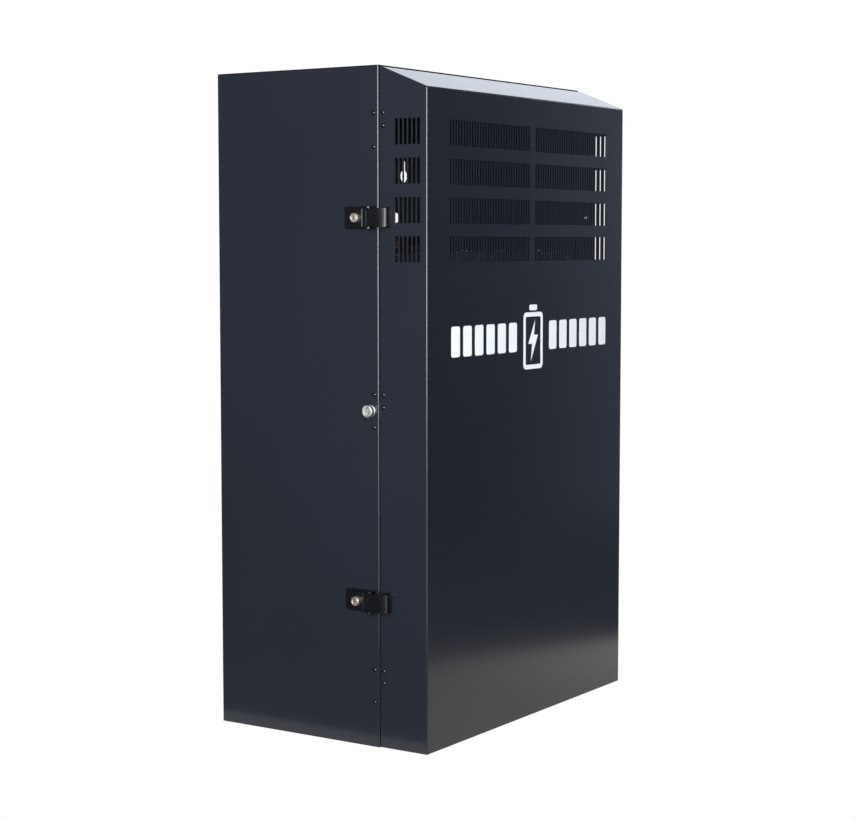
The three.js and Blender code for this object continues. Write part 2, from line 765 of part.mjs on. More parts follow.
function powerButton() {
  const top = module.faceThickness + 3.5;
  const profile = [
    [0, -8], [button.radius + 2, -8], [button.radius + 2, -button.stroke - gap],
    [button.radius, -button.stroke - gap], [button.radius, top - 0.8],
    [button.radius - 0.8, top], [0, top],
  ];
  // the collar sits under the plate; pressing moves it further down
  return lathe('z', [button.x, button.y], profile, 16);
}

function addModule(parent, name) {
  const group = groupAt(parent, 0, moduleRow[name], module.faceZ);
  const low = shelfTop + gap - module.faceZ;
  const add = (part, shape, makeMaterial) =>
    place(group, `${name}_module_${part}`, shape, makeMaterial);
  add('case_tray', caseTray(low), finishes.moduleSteel);
  add('case_lid', caseLid(low), finishes.moduleSteel);
  add('cell_stack', cellStack(), finishes.cells);
  add('face_plate', facePlate(), finishes.moduleSteel);
  add('handle_left', handle(-handleGrip.x), finishes.blackMetal);
  add('handle_right', handle(handleGrip.x), finishes.blackMetal);
  add('positive_post', terminalPost(post.positiveX), finishes.brass);
  add('negative_post', terminalPost(post.negativeX), finishes.brass);
  add('breaker_body', breakerBody(), finishes.greyPlastic);
  add('power_button', powerButton(), finishes.greenPlastic);
  const pivot = groupAt(group, breaker.x, 0, breaker.rise - 6);
  pivot.rotation.x = THREE.MathUtils.degToRad(22.5);
  place(pivot, `${name}_module_breaker_toggle`, breakerToggle(), finishes.blackPlastic);
}

// ---- Assembly ----

const cabinet = new THREE.Group();
addBody(cabinet);
addCover(cabinet);
Object.entries(hingeHeights).forEach(([name, z]) => addHinge(cabinet, name, z));
Object.entries(latchHeights).forEach(([name, z]) => addLatch(cabinet, name, z));
addThumbscrew(cabinet);
addRack(cabinet);
Object.keys(moduleRow).forEach((name) => addModule(cabinet, name));

export default cabinet;
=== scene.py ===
"""Looks of the lockable rack battery cabinet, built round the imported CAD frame.

Shapes are given in millimetres in the frame's own axes and turned into metres as meshes are made.
"""
import json
import math
from contextlib import contextmanager

import bmesh
import bpy
from mathutils import Matrix, Vector


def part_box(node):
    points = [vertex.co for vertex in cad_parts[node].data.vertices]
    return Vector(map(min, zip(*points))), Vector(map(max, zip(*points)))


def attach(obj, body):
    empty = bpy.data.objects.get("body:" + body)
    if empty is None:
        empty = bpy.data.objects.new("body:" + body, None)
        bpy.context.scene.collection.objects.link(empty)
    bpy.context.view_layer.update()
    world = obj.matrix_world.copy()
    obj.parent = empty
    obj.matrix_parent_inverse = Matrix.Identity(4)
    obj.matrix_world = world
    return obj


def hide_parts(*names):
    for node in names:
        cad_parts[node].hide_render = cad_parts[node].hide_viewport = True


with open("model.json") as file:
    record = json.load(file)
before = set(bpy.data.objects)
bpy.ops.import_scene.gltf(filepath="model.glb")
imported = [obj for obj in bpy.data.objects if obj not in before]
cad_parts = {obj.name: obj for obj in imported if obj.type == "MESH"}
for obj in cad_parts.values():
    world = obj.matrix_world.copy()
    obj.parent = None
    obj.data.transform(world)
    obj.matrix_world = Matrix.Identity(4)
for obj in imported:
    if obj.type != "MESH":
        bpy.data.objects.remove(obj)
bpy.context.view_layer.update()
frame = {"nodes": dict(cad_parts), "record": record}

record = frame["record"]
nodes = frame["nodes"]
slot_of = {part["node"]: part["material_slot"] for part in record["subparts"]}
body_of = {
    node: body for body, members in record["behaviour"]["bodies"].items() for node in members
}

MM = 0.001
SHEET = 1.5  # thickness of the folded steel
BEND = 2.1  # outside radius of a fold
GAP = 0.3  # air between neighbouring pieces
MERGE = 2e-6  # points closer than this, in metres, become one


# ---- Meshes ----


@contextmanager
def editing(mesh):
    work = bmesh.new()
    work.from_mesh(mesh)
    yield work
    work.to_mesh(mesh)
    work.free()


def add_mesh(name, points, faces):
    mesh = bpy.data.meshes.new(name)
    mesh.from_pydata([Vector(p) * MM for p in points], [], faces)
    with editing(mesh) as work:
        bmesh.ops.remove_doubles(work, verts=work.verts, dist=1e-6)
        bmesh.ops.recalc_face_normals(work, faces=work.faces)
    obj = bpy.data.objects.new(name, mesh)
    bpy.context.scene.collection.objects.link(obj)
    return obj


def settle(obj):
    """Turns an object's modifiers into its plain mesh."""
    bpy.context.view_layer.update()
    graph = bpy.context.evaluated_depsgraph_get()
    mesh = bpy.data.meshes.new_from_object(obj.evaluated_get(graph))
    obj.modifiers.clear()
    obj.data = mesh
    return obj


def combine(obj, operation, tools):
    for tool in tools:
        modifier = obj.modifiers.new(operation, "BOOLEAN")
        modifier.operation = operation
        modifier.solver = "EXACT"
        modifier.object = tool
    settle(obj)
    for tool in tools:
        bpy.data.objects.remove(tool)
    return obj


def cut(obj, *tools):
    return combine(obj, "DIFFERENCE", tools)


def join(obj, *tools):
    return combine(obj, "UNION", tools)


def moved(obj, x=0.0, y=0.0, z=0.0):
    obj.data.transform(Matrix.Translation(Vector((x, y, z)) * MM))
    return obj


def oriented(axis, a, b, along):
    """A point given in an outline's plane and along its axis, as (x, y, z)."""
    return {"x": (along, a, b), "y": (b, along, a), "z": (a, b, along)}[axis]


def prism(axis, outline, low, high):
    count = len(outline)
    points = [oriented(axis, a, b, along) for along in (low, high) for a, b in outline]
    faces = [list(range(count)), list(range(count, 2 * count))]
    for i in range(count):
        j = (i + 1) % count
        faces.append((i, j, count + j, count + i))
    return add_mesh("prism", points, faces)


def block(x, y, z):
    outline = [(x[0], y[0]), (x[1], y[0]), (x[1], y[1]), (x[0], y[1])]
    return prism("z", outline, *z)


def slab(x, y, half_x, half_y, z):
    """Block centred on (x, y)."""
    return block((x - half_x, x + half_x), (y - half_y, y + half_y), z)


def lathe(axis, centre, profile, sides=48):
    """Turned solid; profile points are (radius, distance along the axis)."""
    closed = profile[0] == profile[-1]
    points, rings = [], []
    for radius, along in profile[:-1] if closed else profile:
        first = len(points)
        if radius < 1e-6:
            points.append(oriented(axis, centre[0], centre[1], along))
            rings.append([first] * sides)
            continue
        for k in range(sides):
            angle = 2 * math.pi * (k + 0.5) / sides
            a = centre[0] + radius * math.cos(angle)
            b = centre[1] + radius * math.sin(angle)
            points.append(oriented(axis, a, b, along))
        rings.append(list(range(first, first + sides)))
    faces = []
    for near, far in zip(rings, rings[1:] + (rings[:1] if closed else [])):
        for k in range(sides):
            j = (k + 1) % sides
            corners = list(dict.fromkeys([near[k], near[j], far[j], far[k]]))
            if len(corners) > 2:
                faces.append(corners)
    return add_mesh("lathe", points, faces)


def rod(axis, centre, radius, low, high, sides=48):
    return lathe(axis, centre, [(0, low), (radius, low), (radius, high), (0, high)], sides)


def smooth_path(points, steps):
    """Catmull-Rom line through the points."""
    knots = [Vector(p) for p in points]
    knots = [2 * knots[0] - knots[1], *knots, 2 * knots[-1] - knots[-2]]
    line = []
    for a, b, c, d in zip(knots, knots[1:], knots[2:], knots[3:]):
        for k in range(steps):
            t = k / steps
            line.append(0.5 * (2 * b + (c - a) * t + (2 * a - 5 * b + 4 * c - d) * t * t
                               + (3 * b - a - 3 * c + d) * t ** 3))
    return [*line, knots[-2]]


def tube(path, radius, sides=24):
    """Round bar along a line of points; radius is a number or a function of the share along."""
    radius_at = radius if callable(radius) else lambda share: radius
    tangents = [
        (path[min(i + 1, len(path) - 1)] - path[max(i - 1, 0)]).normalized()
        for i in range(len(path))
    ]
    across = tangents[0].orthogonal().normalized()
    points, faces = [], []
    for i, (centre, tangent) in enumerate(zip(path, tangents)):
        across = (across - tangent * across.dot(tangent)).normalized()
        up = tangent.cross(across)
        size = radius_at(i / (len(path) - 1))
        for k in range(sides):
            angle = 2 * math.pi * k / sides
            points.append(centre + size * (across * math.cos(angle) + up * math.sin(angle)))
    last = (len(path) - 1) * sides
    for i in range(0, last, sides):
        for k in range(sides):
            j = (k + 1) % sides
            faces.append((i + k, i + j, i + sides + j, i + sides + k))
    faces += [list(range(sides)), list(range(last, last + sides))]
    return add_mesh("tube", points, faces)


# ---- Outlines ----


def rounded(points, steps=6):
    """Rounds each corner (a, b, radius) of a closed outline; without a radius it stays sharp."""
    outline = []
    for i, (a, b, *radius) in enumerate(points):
        if not radius or not radius[0]:
            outline.append((a, b))
            continue
        corner = Vector((a, b))
        before = (Vector(points[i - 1][:2]) - corner).normalized()
        after = (Vector(points[(i + 1) % len(points)][:2]) - corner).normalized()
        half = math.acos(max(-1.0, min(1.0, before.dot(after)))) / 2
        centre = corner + (before + after).normalized() * (radius[0] / math.sin(half))
        start = corner + before * (radius[0] / math.tan(half)) - centre
        turn = before.x * after.y - before.y * after.x
        sweep = math.copysign(1, turn) * (2 * half - math.pi)
        for k in range(steps + 1):
            angle = sweep * k / steps
            outline.append((
                centre.x + start.x * math.cos(angle) - start.y * math.sin(angle),
                centre.y + start.x * math.sin(angle) + start.y * math.cos(angle),
            ))
    return outline


def rectangle(a0, a1, b0, b1, radius=0.0, steps=6):
    return rounded([(a0, b0, radius), (a1, b0, radius), (a1, b1, radius), (a0, b1, radius)], steps)


def regular(sides, centre, radius, turn=0.0):
    return [
        (centre[0] + radius * math.cos(2 * math.pi * k / sides + turn),
         centre[1] + radius * math.sin(2 * math.pi * k / sides + turn))
        for k in range(sides)
    ]


def offset(points, distance):
    """Moves an open line of corners sideways to its left, keeping each stretch parallel."""
    normals = []
    for (a, b, *_), (c, d, *_) in zip(points, points[1:]):
        along = Vector((c - a, d - b)).normalized()
        normals.append(Vector((-along.y, along.x)))
    line = []
    for i, (a, b, *radius) in enumerate(points):
        left, right = normals[max(i - 1, 0)], normals[min(i, len(normals) - 1)]
        scale = distance / (1 + left.dot(right))
        bow = left.x * right.y - left.y * right.x
        turn = (bow > 0) - (bow < 0)
        size = max(radius[0] - turn * distance, 0.5) if radius and radius[0] else 0
        line.append((a + (left.x + right.x) * scale, b + (left.y + right.y) * scale, size))
    return line


def folded(points, thickness, steps=6):
    """Section of a folded sheet whose one face follows the points and lies on their right."""
    return rounded([*points, *reversed(offset(points, thickness))], steps)


# ---- Materials ----


def new_node(tree, kind, **values):
    """Adds a shader node. Each value is set on the input of its name, or linked to it if it is
    another node's output."""
    made = tree.nodes.new(f"ShaderNode{kind}")
    for name, value in values.items():
        socket = made.inputs[name.replace("_", " ")]
        if isinstance(value, bpy.types.NodeSocket):
            tree.links.new(value, socket)
        else:
            socket.default_value = value
    return made


def noise(tree, scale, detail=2.0, stretch=None):
    vector = new_node(tree, "TexCoord").outputs["Object"]
    if stretch:
        vector = new_node(tree, "Mapping", Vector=vector, Scale=stretch).outputs["Vector"]
    return new_node(tree, "TexNoise", Vector=vector, Scale=scale, Detail=detail).outputs["Fac"]


def spread(tree, value, low, high):
    """Maps the middle of a noise's range onto low..high."""
    ranged = new_node(
        tree, "MapRange", Value=value, From_Min=0.3, From_Max=0.7, To_Min=low, To_Max=high)
    return ranged.outputs["Result"]


def blend_colours(tree, share, first, second):
    mix = tree.nodes.new("ShaderNodeMix")
    mix.data_type = "RGBA"
    tree.links.new(share, mix.inputs["Factor"])
    for socket, colour in (("A", first), ("B", second)):
        target = next(s for s in mix.inputs if s.name == socket and s.type == "RGBA")
        target.default_value = (*colour, 1)
    return next(s for s in mix.outputs if s.type == "RGBA")


def surface(name, colour, roughness, *, tone=0.12, tone_scale=7.0, rough_spread=0.05,
            rough_scale=45.0, grain=(900.0, 0.03), stretch=None, **sockets):
    """Principled material with drifting tone, uneven gloss and a fine relief of `grain`
    (scale of its noise, depth in millimetres)."""
    made = bpy.data.materials.new(name)
    made.use_nodes = True
    tree = made.node_tree
    shader = tree.nodes["Principled BSDF"]
    for socket, value in sockets.items():
        shader.inputs[socket.replace("_", " ")].default_value = value
    light = [min(1.0, c * (1 + tone)) for c in colour]
    dark = [c * (1 - tone) for c in colour]
    share = spread(tree, noise(tree, tone_scale, 4.0, stretch), 0, 1)
    uneven = spread(tree, noise(tree, rough_scale, 3.0, stretch),
                    roughness - rough_spread, roughness + rough_spread)
    relief = noise(tree, grain[0], stretch=stretch)
    bump = new_node(tree, "Bump", Distance=grain[1] * MM, Height=relief)
    tree.links.new(blend_colours(tree, share, dark, light), shader.inputs["Base Color"])
    tree.links.new(uneven, shader.inputs["Roughness"])
    tree.links.new(bump.outputs["Normal"], shader.inputs["Normal"])
    return made


base_colour = {m["slot"]: m["base_color"] for m in record["materials"]}
BRUSHED = (1.0, 14.0, 1.0)
SLOT_LOOKS = {  # colour (None takes the record's own), roughness and the rest of its look
    "cabinet_paint": ((0.0084, 0.0100, 0.0142), 0.20, dict(
        tone=0.05, tone_scale=3.0, rough_spread=0.012, rough_scale=60.0, grain=(900.0, 0.008))),
    "latch_black": ((0.0022, 0.0022, 0.0026), 0.27, dict(
        rough_spread=0.02, grain=(700.0, 0.004), Specular_IOR_Level=0.32)),
    "zinc": (None, 0.30, dict(
        Metallic=1.0, tone=0.16, tone_scale=90.0, rough_spread=0.08, rough_scale=140.0,
        grain=(500.0, 0.02))),
    "chrome": (None, 0.50, dict(
        Metallic=1.0, tone=0.06, tone_scale=60.0, rough_spread=0.12, rough_scale=260.0,
        grain=(500.0, 0.03))),
    "brass": (None, 0.28, dict(Metallic=1.0, tone=0.15, tone_scale=60.0, grain=(400.0, 0.012))),
    "copper": (None, 0.30, dict(
        Metallic=1.0, tone=0.2, tone_scale=30.0, rough_spread=0.09, grain=(500.0, 0.015),
        stretch=BRUSHED)),
    "rubber": ((0.004, 0.004, 0.0042), 0.75, dict(
        tone=0.2, tone_scale=25.0, grain=(1200.0, 0.05), Specular_IOR_Level=0.2)),
    "module_paint": ((0.017, 0.0175, 0.019), 0.45, dict(
        tone=0.08, grain=(1100.0, 0.03), rough_scale=60.0)),
    "cell_case": (None, 0.34, dict(
        tone=0.12, tone_scale=18.0, rough_spread=0.08, Coat_Weight=0.3, grain=(60.0, 0.12))),
    "red_plastic": (None, 0.34, dict(tone=0.06, grain=(700.0, 0.02), Coat_Weight=0.15)),
    "pale_plastic": ((0.84, 0.85, 0.84), 0.46, dict(tone=0.02, grain=(1400.0, 0.02))),
    "green_plastic": (None, 0.32, dict(tone=0.06, grain=(700.0, 0.02))),
    "black_plastic": (None, 0.5, dict(tone=0.15, grain=(1400.0, 0.04))),
    "orange_cable": ((0.42, 0.10, 0.012), 0.5, dict(
        tone=0.1, tone_scale=40.0, grain=(350.0, 0.04))),
    "black_cable": (None, 0.45, dict(tone=0.15, tone_scale=40.0, grain=(350.0, 0.04))),
}
materials = {
    slot: surface(slot, colour or base_colour[slot], roughness, **look)
    for slot, (colour, roughness, look) in SLOT_LOOKS.items()
}
BLACK_SCREW = surface("screw_black", (0.001, 0.001, 0.0013), 0.14, rough_spread=0.02,
                      grain=(900.0, 0.004))
BLACK_GRIP = surface("grip_black", (0.004, 0.004, 0.0042), 0.6, grain=(1200.0, 0.03),
                     Specular_IOR_Level=0.25)
BREAKER_GREY = surface("breaker_grey", (0.045, 0.047, 0.05), 0.42, tone=0.05,
                       grain=(1400.0, 0.02))
BOX_GREY = surface("box_grey", (0.40, 0.41, 0.40), 0.46, tone=0.04, grain=(1400.0, 0.03))
LOCK_METAL = surface("lock_metal", (0.46, 0.40, 0.34), 0.42, Metallic=1.0, tone=0.10,
                     tone_scale=150.0, rough_spread=0.08, grain=(500.0, 0.02))
KNOB_METAL = surface("knob_metal", (0.60, 0.59, 0.55), 0.46, Metallic=1.0, tone=0.25,
                     tone_scale=220.0, rough_spread=0.1, rough_scale=300.0, grain=(500.0, 0.05))


# ---- Pieces ----


def span(node):
    """Lowest and highest corner of a CAD node, in millimetres."""
    low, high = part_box(node)
    return low / MM, high / MM


def middle(node):
    low, high = span(node)
    return (low + high) / 2


def measures(node):
    return *span(node), middle(node)


def dressed(obj, name, slot, edge=0.3, segments=2, finish=None):
    """Names a piece, softens its sharp edges by `edge` and gives it the slot's material, or
    another finish of that slot."""
    obj.name = obj.data.name = name
    with editing(obj.data) as work:
        bmesh.ops.remove_doubles(work, verts=work.verts, dist=MERGE)
        bmesh.ops.dissolve_degenerate(work, edges=work.edges, dist=MERGE)
        for face in work.faces:
            face.smooth = True
    if edge:
        bevel = obj.modifiers.new("edges", "BEVEL")
        bevel.width = edge * MM
        bevel.segments = segments
        bevel.limit_method = "ANGLE"
        bevel.angle_limit = math.radians(38)
    weighted = obj.modifiers.new("shading", "WEIGHTED_NORMAL")
    weighted.keep_sharp = True
    obj.data.materials.clear()
    obj.data.materials.append(finish or materials[slot])
    return obj


def stand_in(obj, *replaced, **look):
    """A detailed piece shown in place of one or more CAD nodes."""
    node = replaced[0]
    dressed(obj, f"{node}_shape", slot_of[node], **look)
    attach(obj, body_of[node])
    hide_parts(*replaced)
    return obj


def extra(obj, name, slot, beside, **look):
    """A piece that the CAD leaves out, moving with the CAD node it sits on."""
    dressed(obj, name, slot, **look)
    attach(obj, body_of[beside])
    return obj


def refined(node, **look):
    """A CAD node's own shape with its flat faces cleaned and its edges softened."""
    work = bmesh.new()
    work.from_mesh(nodes[node].data)
    bmesh.ops.remove_doubles(work, verts=work.verts, dist=MERGE)
    bmesh.ops.dissolve_limit(
        work, angle_limit=math.radians(0.6), verts=work.verts, edges=work.edges)
    work.verts.index_update()
    points = [v.co / MM for v in work.verts]
    faces = [[v.index for v in face.verts] for face in work.faces]
    work.free()
    return stand_in(add_mesh(node, points, faces), node, **look)


# ---- Front cover ----

SLOT_WIDTH, SLOT_HEIGHT, SLOT_ROWS, SLOT_PITCH, SLOT_TOP = 5.3, 38.0, 4, 57.2, 940.5
FRONT_SLOTS, FRONT_FIRST, FRONT_PITCH = 31, 11.2, 7.53
SIDE_SLOTS, SIDE_PITCH = 6, 7.78
SIDE_FIRST = {-1: 15.7, 1: 11.5}  # first slot centre behind the front, by side
SHOULDER, SLOPE_DROP = 4.0, 32.0
MARK_THICKNESS = 0.12

cover_low, cover_high = span("front_cover")
SIDE = cover_high.x
COVER_REAR = cover_high.y
COVER_FRONT = cover_low.y + MARK_THICKNESS
COVER_TOP, COVER_BOTTOM = cover_high.z, cover_low.z
SLOPE_FOOT = COVER_TOP - SLOPE_DROP

ROW_SPANS = sorted(
    (SLOT_TOP - row * SLOT_PITCH - SLOT_HEIGHT, SLOT_TOP - row * SLOT_PITCH)
    for row in range(SLOT_ROWS)
)
ROW_LINES = [z for pair in ROW_SPANS for z in pair]


def louvred_wall(place, centres, top):
    """Faces of one wall with its slots left open. `top` is the line of the wall's upper edge
    and `place` turns (distance across, height) into a point."""
    breaks = sorted(c + side * SLOT_WIDTH / 2 for c in centres for side in (-1, 1))
    first, last = breaks[0], breaks[-1]

    def upper(low, high):
        def height(u):
            for (a, za), (b, zb) in zip(top, top[1:]):
                if a <= u <= b:
                    return za + (zb - za) * (u - a) / (b - a)
            return top[-1][1]

        inner = [(u, z) for u, z in top if low < u < high]
        return [place(u, z) for u, z in [(low, height(low)), *inner, (high, height(high))]]

    faces = []
    for low, high in zip(ROW_LINES, ROW_LINES[1:]):
        for k, (a, b) in enumerate(zip(breaks, breaks[1:])):
            if (low, high) in ROW_SPANS and k % 2 == 0:
                continue
            faces.append([place(a, low), place(b, low), place(b, high), place(a, high)])
    start, end = top[0][0], top[-1][0]
    for low, high, inner in ((start, first, first), (last, end, last)):
        side = [place(inner, z) for z in ROW_LINES]
        floor = [place(low, COVER_BOTTOM), place(high, COVER_BOTTOM)]
        if inner == high:
            faces.append([*floor, *side, *reversed(upper(low, high))])
        else:
            faces.append([*floor, *reversed(upper(low, high)), *reversed(side)])
    faces.append([place(first, COVER_BOTTOM), place(last, COVER_BOTTOM),
                  *[place(u, ROW_LINES[0]) for u in reversed(breaks)]])
    faces.append([*[place(u, ROW_LINES[-1]) for u in breaks], *reversed(upper(first, last))])
    return faces, (first, last)


def cover_skin():
    """Outer faces of the cover: slotted front and sides, sloped and level top, bottom."""
    shoulder = COVER_REAR - SHOULDER
    front_steps = [FRONT_FIRST + k * FRONT_PITCH for k in range(FRONT_SLOTS)]
    level_front = [(-SIDE, SLOPE_FOOT), (SIDE, SLOPE_FOOT)]
    sloped_side = [(COVER_FRONT, SLOPE_FOOT), (shoulder, COVER_TOP), (COVER_REAR, COVER_TOP)]
    faces, (left, right) = louvred_wall(
        lambda u, z: (u, COVER_FRONT, z), [-x for x in front_steps] + front_steps, level_front)
    ends = {}
    for sign, first in SIDE_FIRST.items():
        steps = [cover_low.y + first + k * SIDE_PITCH for k in range(SIDE_SLOTS)]
        wall, ends[sign] = louvred_wall(lambda u, z: (sign * SIDE, u, z), steps, sloped_side)
        faces += wall

    def slope(y):
        share = (y - COVER_FRONT) / (shoulder - COVER_FRONT)
        return SLOPE_FOOT + share * (COVER_TOP - SLOPE_FOOT)

    def ring(rear, height):
        across = (-SIDE, left, right, SIDE)
        return [
            *[(x, COVER_FRONT, height(COVER_FRONT)) for x in across],
            *[(SIDE, y, height(y)) for y in (*ends[1], rear)],
            *[(-SIDE, y, height(y)) for y in (rear, *reversed(ends[-1]))],
        ]

    faces.append(ring(shoulder, slope))
    faces.append(ring(COVER_REAR, lambda y: COVER_BOTTOM))
    faces.append([(-SIDE, shoulder, COVER_TOP), (SIDE, shoulder, COVER_TOP),
                  (SIDE, COVER_REAR, COVER_TOP), (-SIDE, COVER_REAR, COVER_TOP)])
    return faces


def front_cover():
    faces = cover_skin()
    points = [p for face in faces for p in face]
    ends = [0]
    for face in faces:
        ends.append(ends[-1] + len(face))
    obj = add_mesh("skin", points, [list(range(a, b)) for a, b in zip(ends, ends[1:])])
    with editing(obj.data) as work:
        foremost = min(work.faces, key=lambda f: f.calc_center_median().y)
        if foremost.normal.y > 0:
            bmesh.ops.reverse_faces(work, faces=work.faces)
    folds = obj.modifiers.new("folds", "BEVEL")
    folds.width = BEND * MM
    folds.segments = 6
    folds.limit_method = "ANGLE"
    folds.angle_limit = math.radians(10)
    thick = obj.modifiers.new("sheet", "SOLIDIFY")
    thick.thickness = SHEET * MM
    thick.offset = -1
    thick.use_even_offset = True
    settle(obj)
    spare = [
        rod("x", (cover_low.y + 70.8, middle(f"{latch}_latch_base").z + 6.2), 2.5,
            SIDE - 3, SIDE + 1, 32)
        for latch in ("upper", "lower")
    ]
    return stand_in(cut(obj, *spare), "front_cover", edge=0.42, segments=3)


front_cover()


# ---- Body ----

body_low, body_high = span("body_wrap")
BODY_FRONT, BODY_BACK = body_low.y, body_high.y
thumbscrew_at = middle("thumbscrew_collar")
KEYHOLE_X, NECK_Z, HEAD_Z = 212, 900, 877
NECK, HEAD = 5, 11  # radii of a keyhole
TIE_X, TIE_HEIGHTS = 184, (795, 812)
RETURN = 15  # flange folded in round the front opening


def body_wrap():
    section = folded([
        (SIDE - RETURN, BODY_FRONT), (SIDE, BODY_FRONT, BEND), (SIDE, BODY_BACK, BEND),
        (-SIDE, BODY_BACK, BEND), (-SIDE, BODY_FRONT, BEND), (-SIDE + RETURN, BODY_FRONT),
    ], SHEET)
    near, far = BODY_BACK - 4, BODY_BACK + 2
    tools = []
    for side in (-1, 1):
        x = side * KEYHOLE_X
        throat = [(x + NECK * math.cos(a), NECK_Z + NECK * math.sin(a))
                  for a in (math.pi * k / 12 for k in range(13))]
        neck_angle = math.asin(NECK / HEAD)
        head = [(x + HEAD * math.cos(a), HEAD_Z + HEAD * math.sin(a))
                for a in (math.pi / 2 + neck_angle + (2 * math.pi - 2 * neck_angle) * k / 40
                          for k in range(41))]
        outline = [(z, x_at) for x_at, z in [*throat, *head]]
        tools.append(prism("y", outline, near, far))
        tie = rectangle(*TIE_HEIGHTS, side * TIE_X - 13.5, side * TIE_X + 13.5, 8)
        tools.append(prism("y", tie, near, far))
    y, z = thumbscrew_at.y, thumbscrew_at.z
    tools.append(rod("x", (y, z), 3.3, -SIDE - 1, -SIDE + 4, 32))
    tools.append(block((-SIDE + SHEET, -SIDE + 17), (BODY_FRONT - 1, BODY_FRONT + 6),
                       (z - 20, z + 20)))
    wrap = prism("z", section, body_low.z, body_high.z)
    return stand_in(cut(wrap, *tools), "body_wrap", edge=0.3)


body_wrap()
refined("top_panel", edge=0.4)
refined("bottom_panel", edge=0.4)


def door_seal():
    """Foam strip on the body's flange at the hinge side, close behind the cover's rear edge."""
    strip = block((SIDE - 5, SIDE - 1.7), (COVER_REAR + 0.2, BODY_FRONT - 0.02),
                  (body_low.z + 16, COVER_TOP - 8))
    return extra(strip, "door_seal", "rubber", "body_wrap", edge=0.4)


door_seal()


def grommet(node):
    low, high, centre = measures(node)
    lip, bore, neck = (high.x - low.x) / 2, 22.0, 27.7
    bulge = 1.2
    profile = [
        (bore, low.z + 1), (bore + 1, low.z), (lip - bulge, low.z), (lip, low.z + 1),
        (lip, low.z + 2.4), (lip - 0.6, low.z + 3), (neck, low.z + 3), (neck, high.z - 3),
        (lip - 0.6, high.z - 3), (lip, high.z - 2.4), (lip - bulge, high.z - 0.7),
        (lip - 2 * bulge, high.z), (bore + 2, high.z), (bore, high.z - 1.5), (bore, low.z + 1),
    ]
    return stand_in(lathe("z", centre.xy, profile, 72), node, edge=0.25)


for hand in ("left", "right"):
    grommet(f"cable_grommet_{hand}")


# ---- Hinges ----

HINGES = ("top", "middle", "bottom")
KNUCKLE, HINGE_PIN, LEAF, LEAF_WIDTH = 4.3, 2.0, 2.0, 22
HINGE_OUT = 4.8  # the hinge line's distance from the side wall


def hinge_leaf(node, towards):
    """Leaf plate curled round the pin; its knuckle fills the half of its height it owns."""
    low, high = span(node)
    centre_z = (low.z + high.z) / 2
    x = SIDE + HINGE_OUT
    y = (BODY_FRONT + COVER_REAR) / 2
    inner, outer = SIDE + GAP, SIDE + GAP + LEAF
    far = y + towards * (KNUCKLE + 0.6 + LEAF_WIDTH)
    near = y + towards * 4.9
    plate = rectangle(*sorted((near, far)), low.z, high.z, 3)
    leaf = prism("x", plate, inner, outer)
    own = (low.z, centre_z - 0.15) if towards > 0 else (centre_z + 0.15, high.z)
    neck = block((inner, outer), sorted((y + towards * 2, near + towards)), own)
    leaf = join(leaf, neck, rod("z", (x, y), KNUCKLE, *own, 48))
    hole = rod("z", (x, y), HINGE_PIN + 0.15, low.z - 1, high.z + 1, 32)
    return stand_in(cut(leaf, hole), node, edge=0.35)


def hinge_pin(node):
    low, high, centre = measures(node)
    profile = [
        (0, low.z), (3.6, low.z), (KNUCKLE, low.z + 0.5), (KNUCKLE, low.z + 1.9),
        (HINGE_PIN, low.z + 1.9), (HINGE_PIN, high.z - 0.6), (1.5, high.z), (0, high.z),
    ]
    return stand_in(lathe("z", centre.xy, profile, 32), node, edge=0)


for hinge in HINGES:
    hinge_leaf(f"{hinge}_hinge_body_leaf", 1)
    hinge_leaf(f"{hinge}_hinge_cover_leaf", -1)
    hinge_pin(f"{hinge}_hinge_pin")


# ---- Latches ----


LATCH_Y = -111.0  # latch shapes are drawn from here, toward the rear
LEVER_PIN = (-11, 12)  # lever's pin: out from the wall, and behind LATCH_Y
LEVER_BARREL, PIN_BORE = 3.6, 1.8


def latch_base(latch, z):
    plate = prism("x", rectangle(7, 61, -16.5, 16.5, 4), -3.3, -0.3)
    housing = join(
        prism("z", rounded([(-2, 25.5), (-8, 25.5, 1.5), (-8, 48, 2), (-2, 48)]), -13.5, 13.5),
        prism("z", rounded([(-2, 16.3), (-9, 16.3, 2.4), (-9, 24.5, 1), (-2, 24.5)], 8), -13, 13),
    )
    ears = []
    for side in (-1, 1):
        outline = rounded([(-2, 7), (-16, 7, 5), (-16, 18, 5), (-2, 18)], 10)
        ears.append(prism("z", outline, *sorted((side * 14.3, side * 16.5))))
    base = join(plate, housing, *ears)
    cut(base, rod("z", LEVER_PIN, PIN_BORE, -20, 20, 32), rod("x", (36, 0), 7.3, -16, -5, 48))
    return stand_in(moved(base, -SIDE, LATCH_Y, z), f"{latch}_latch_base", edge=0.7, segments=3)


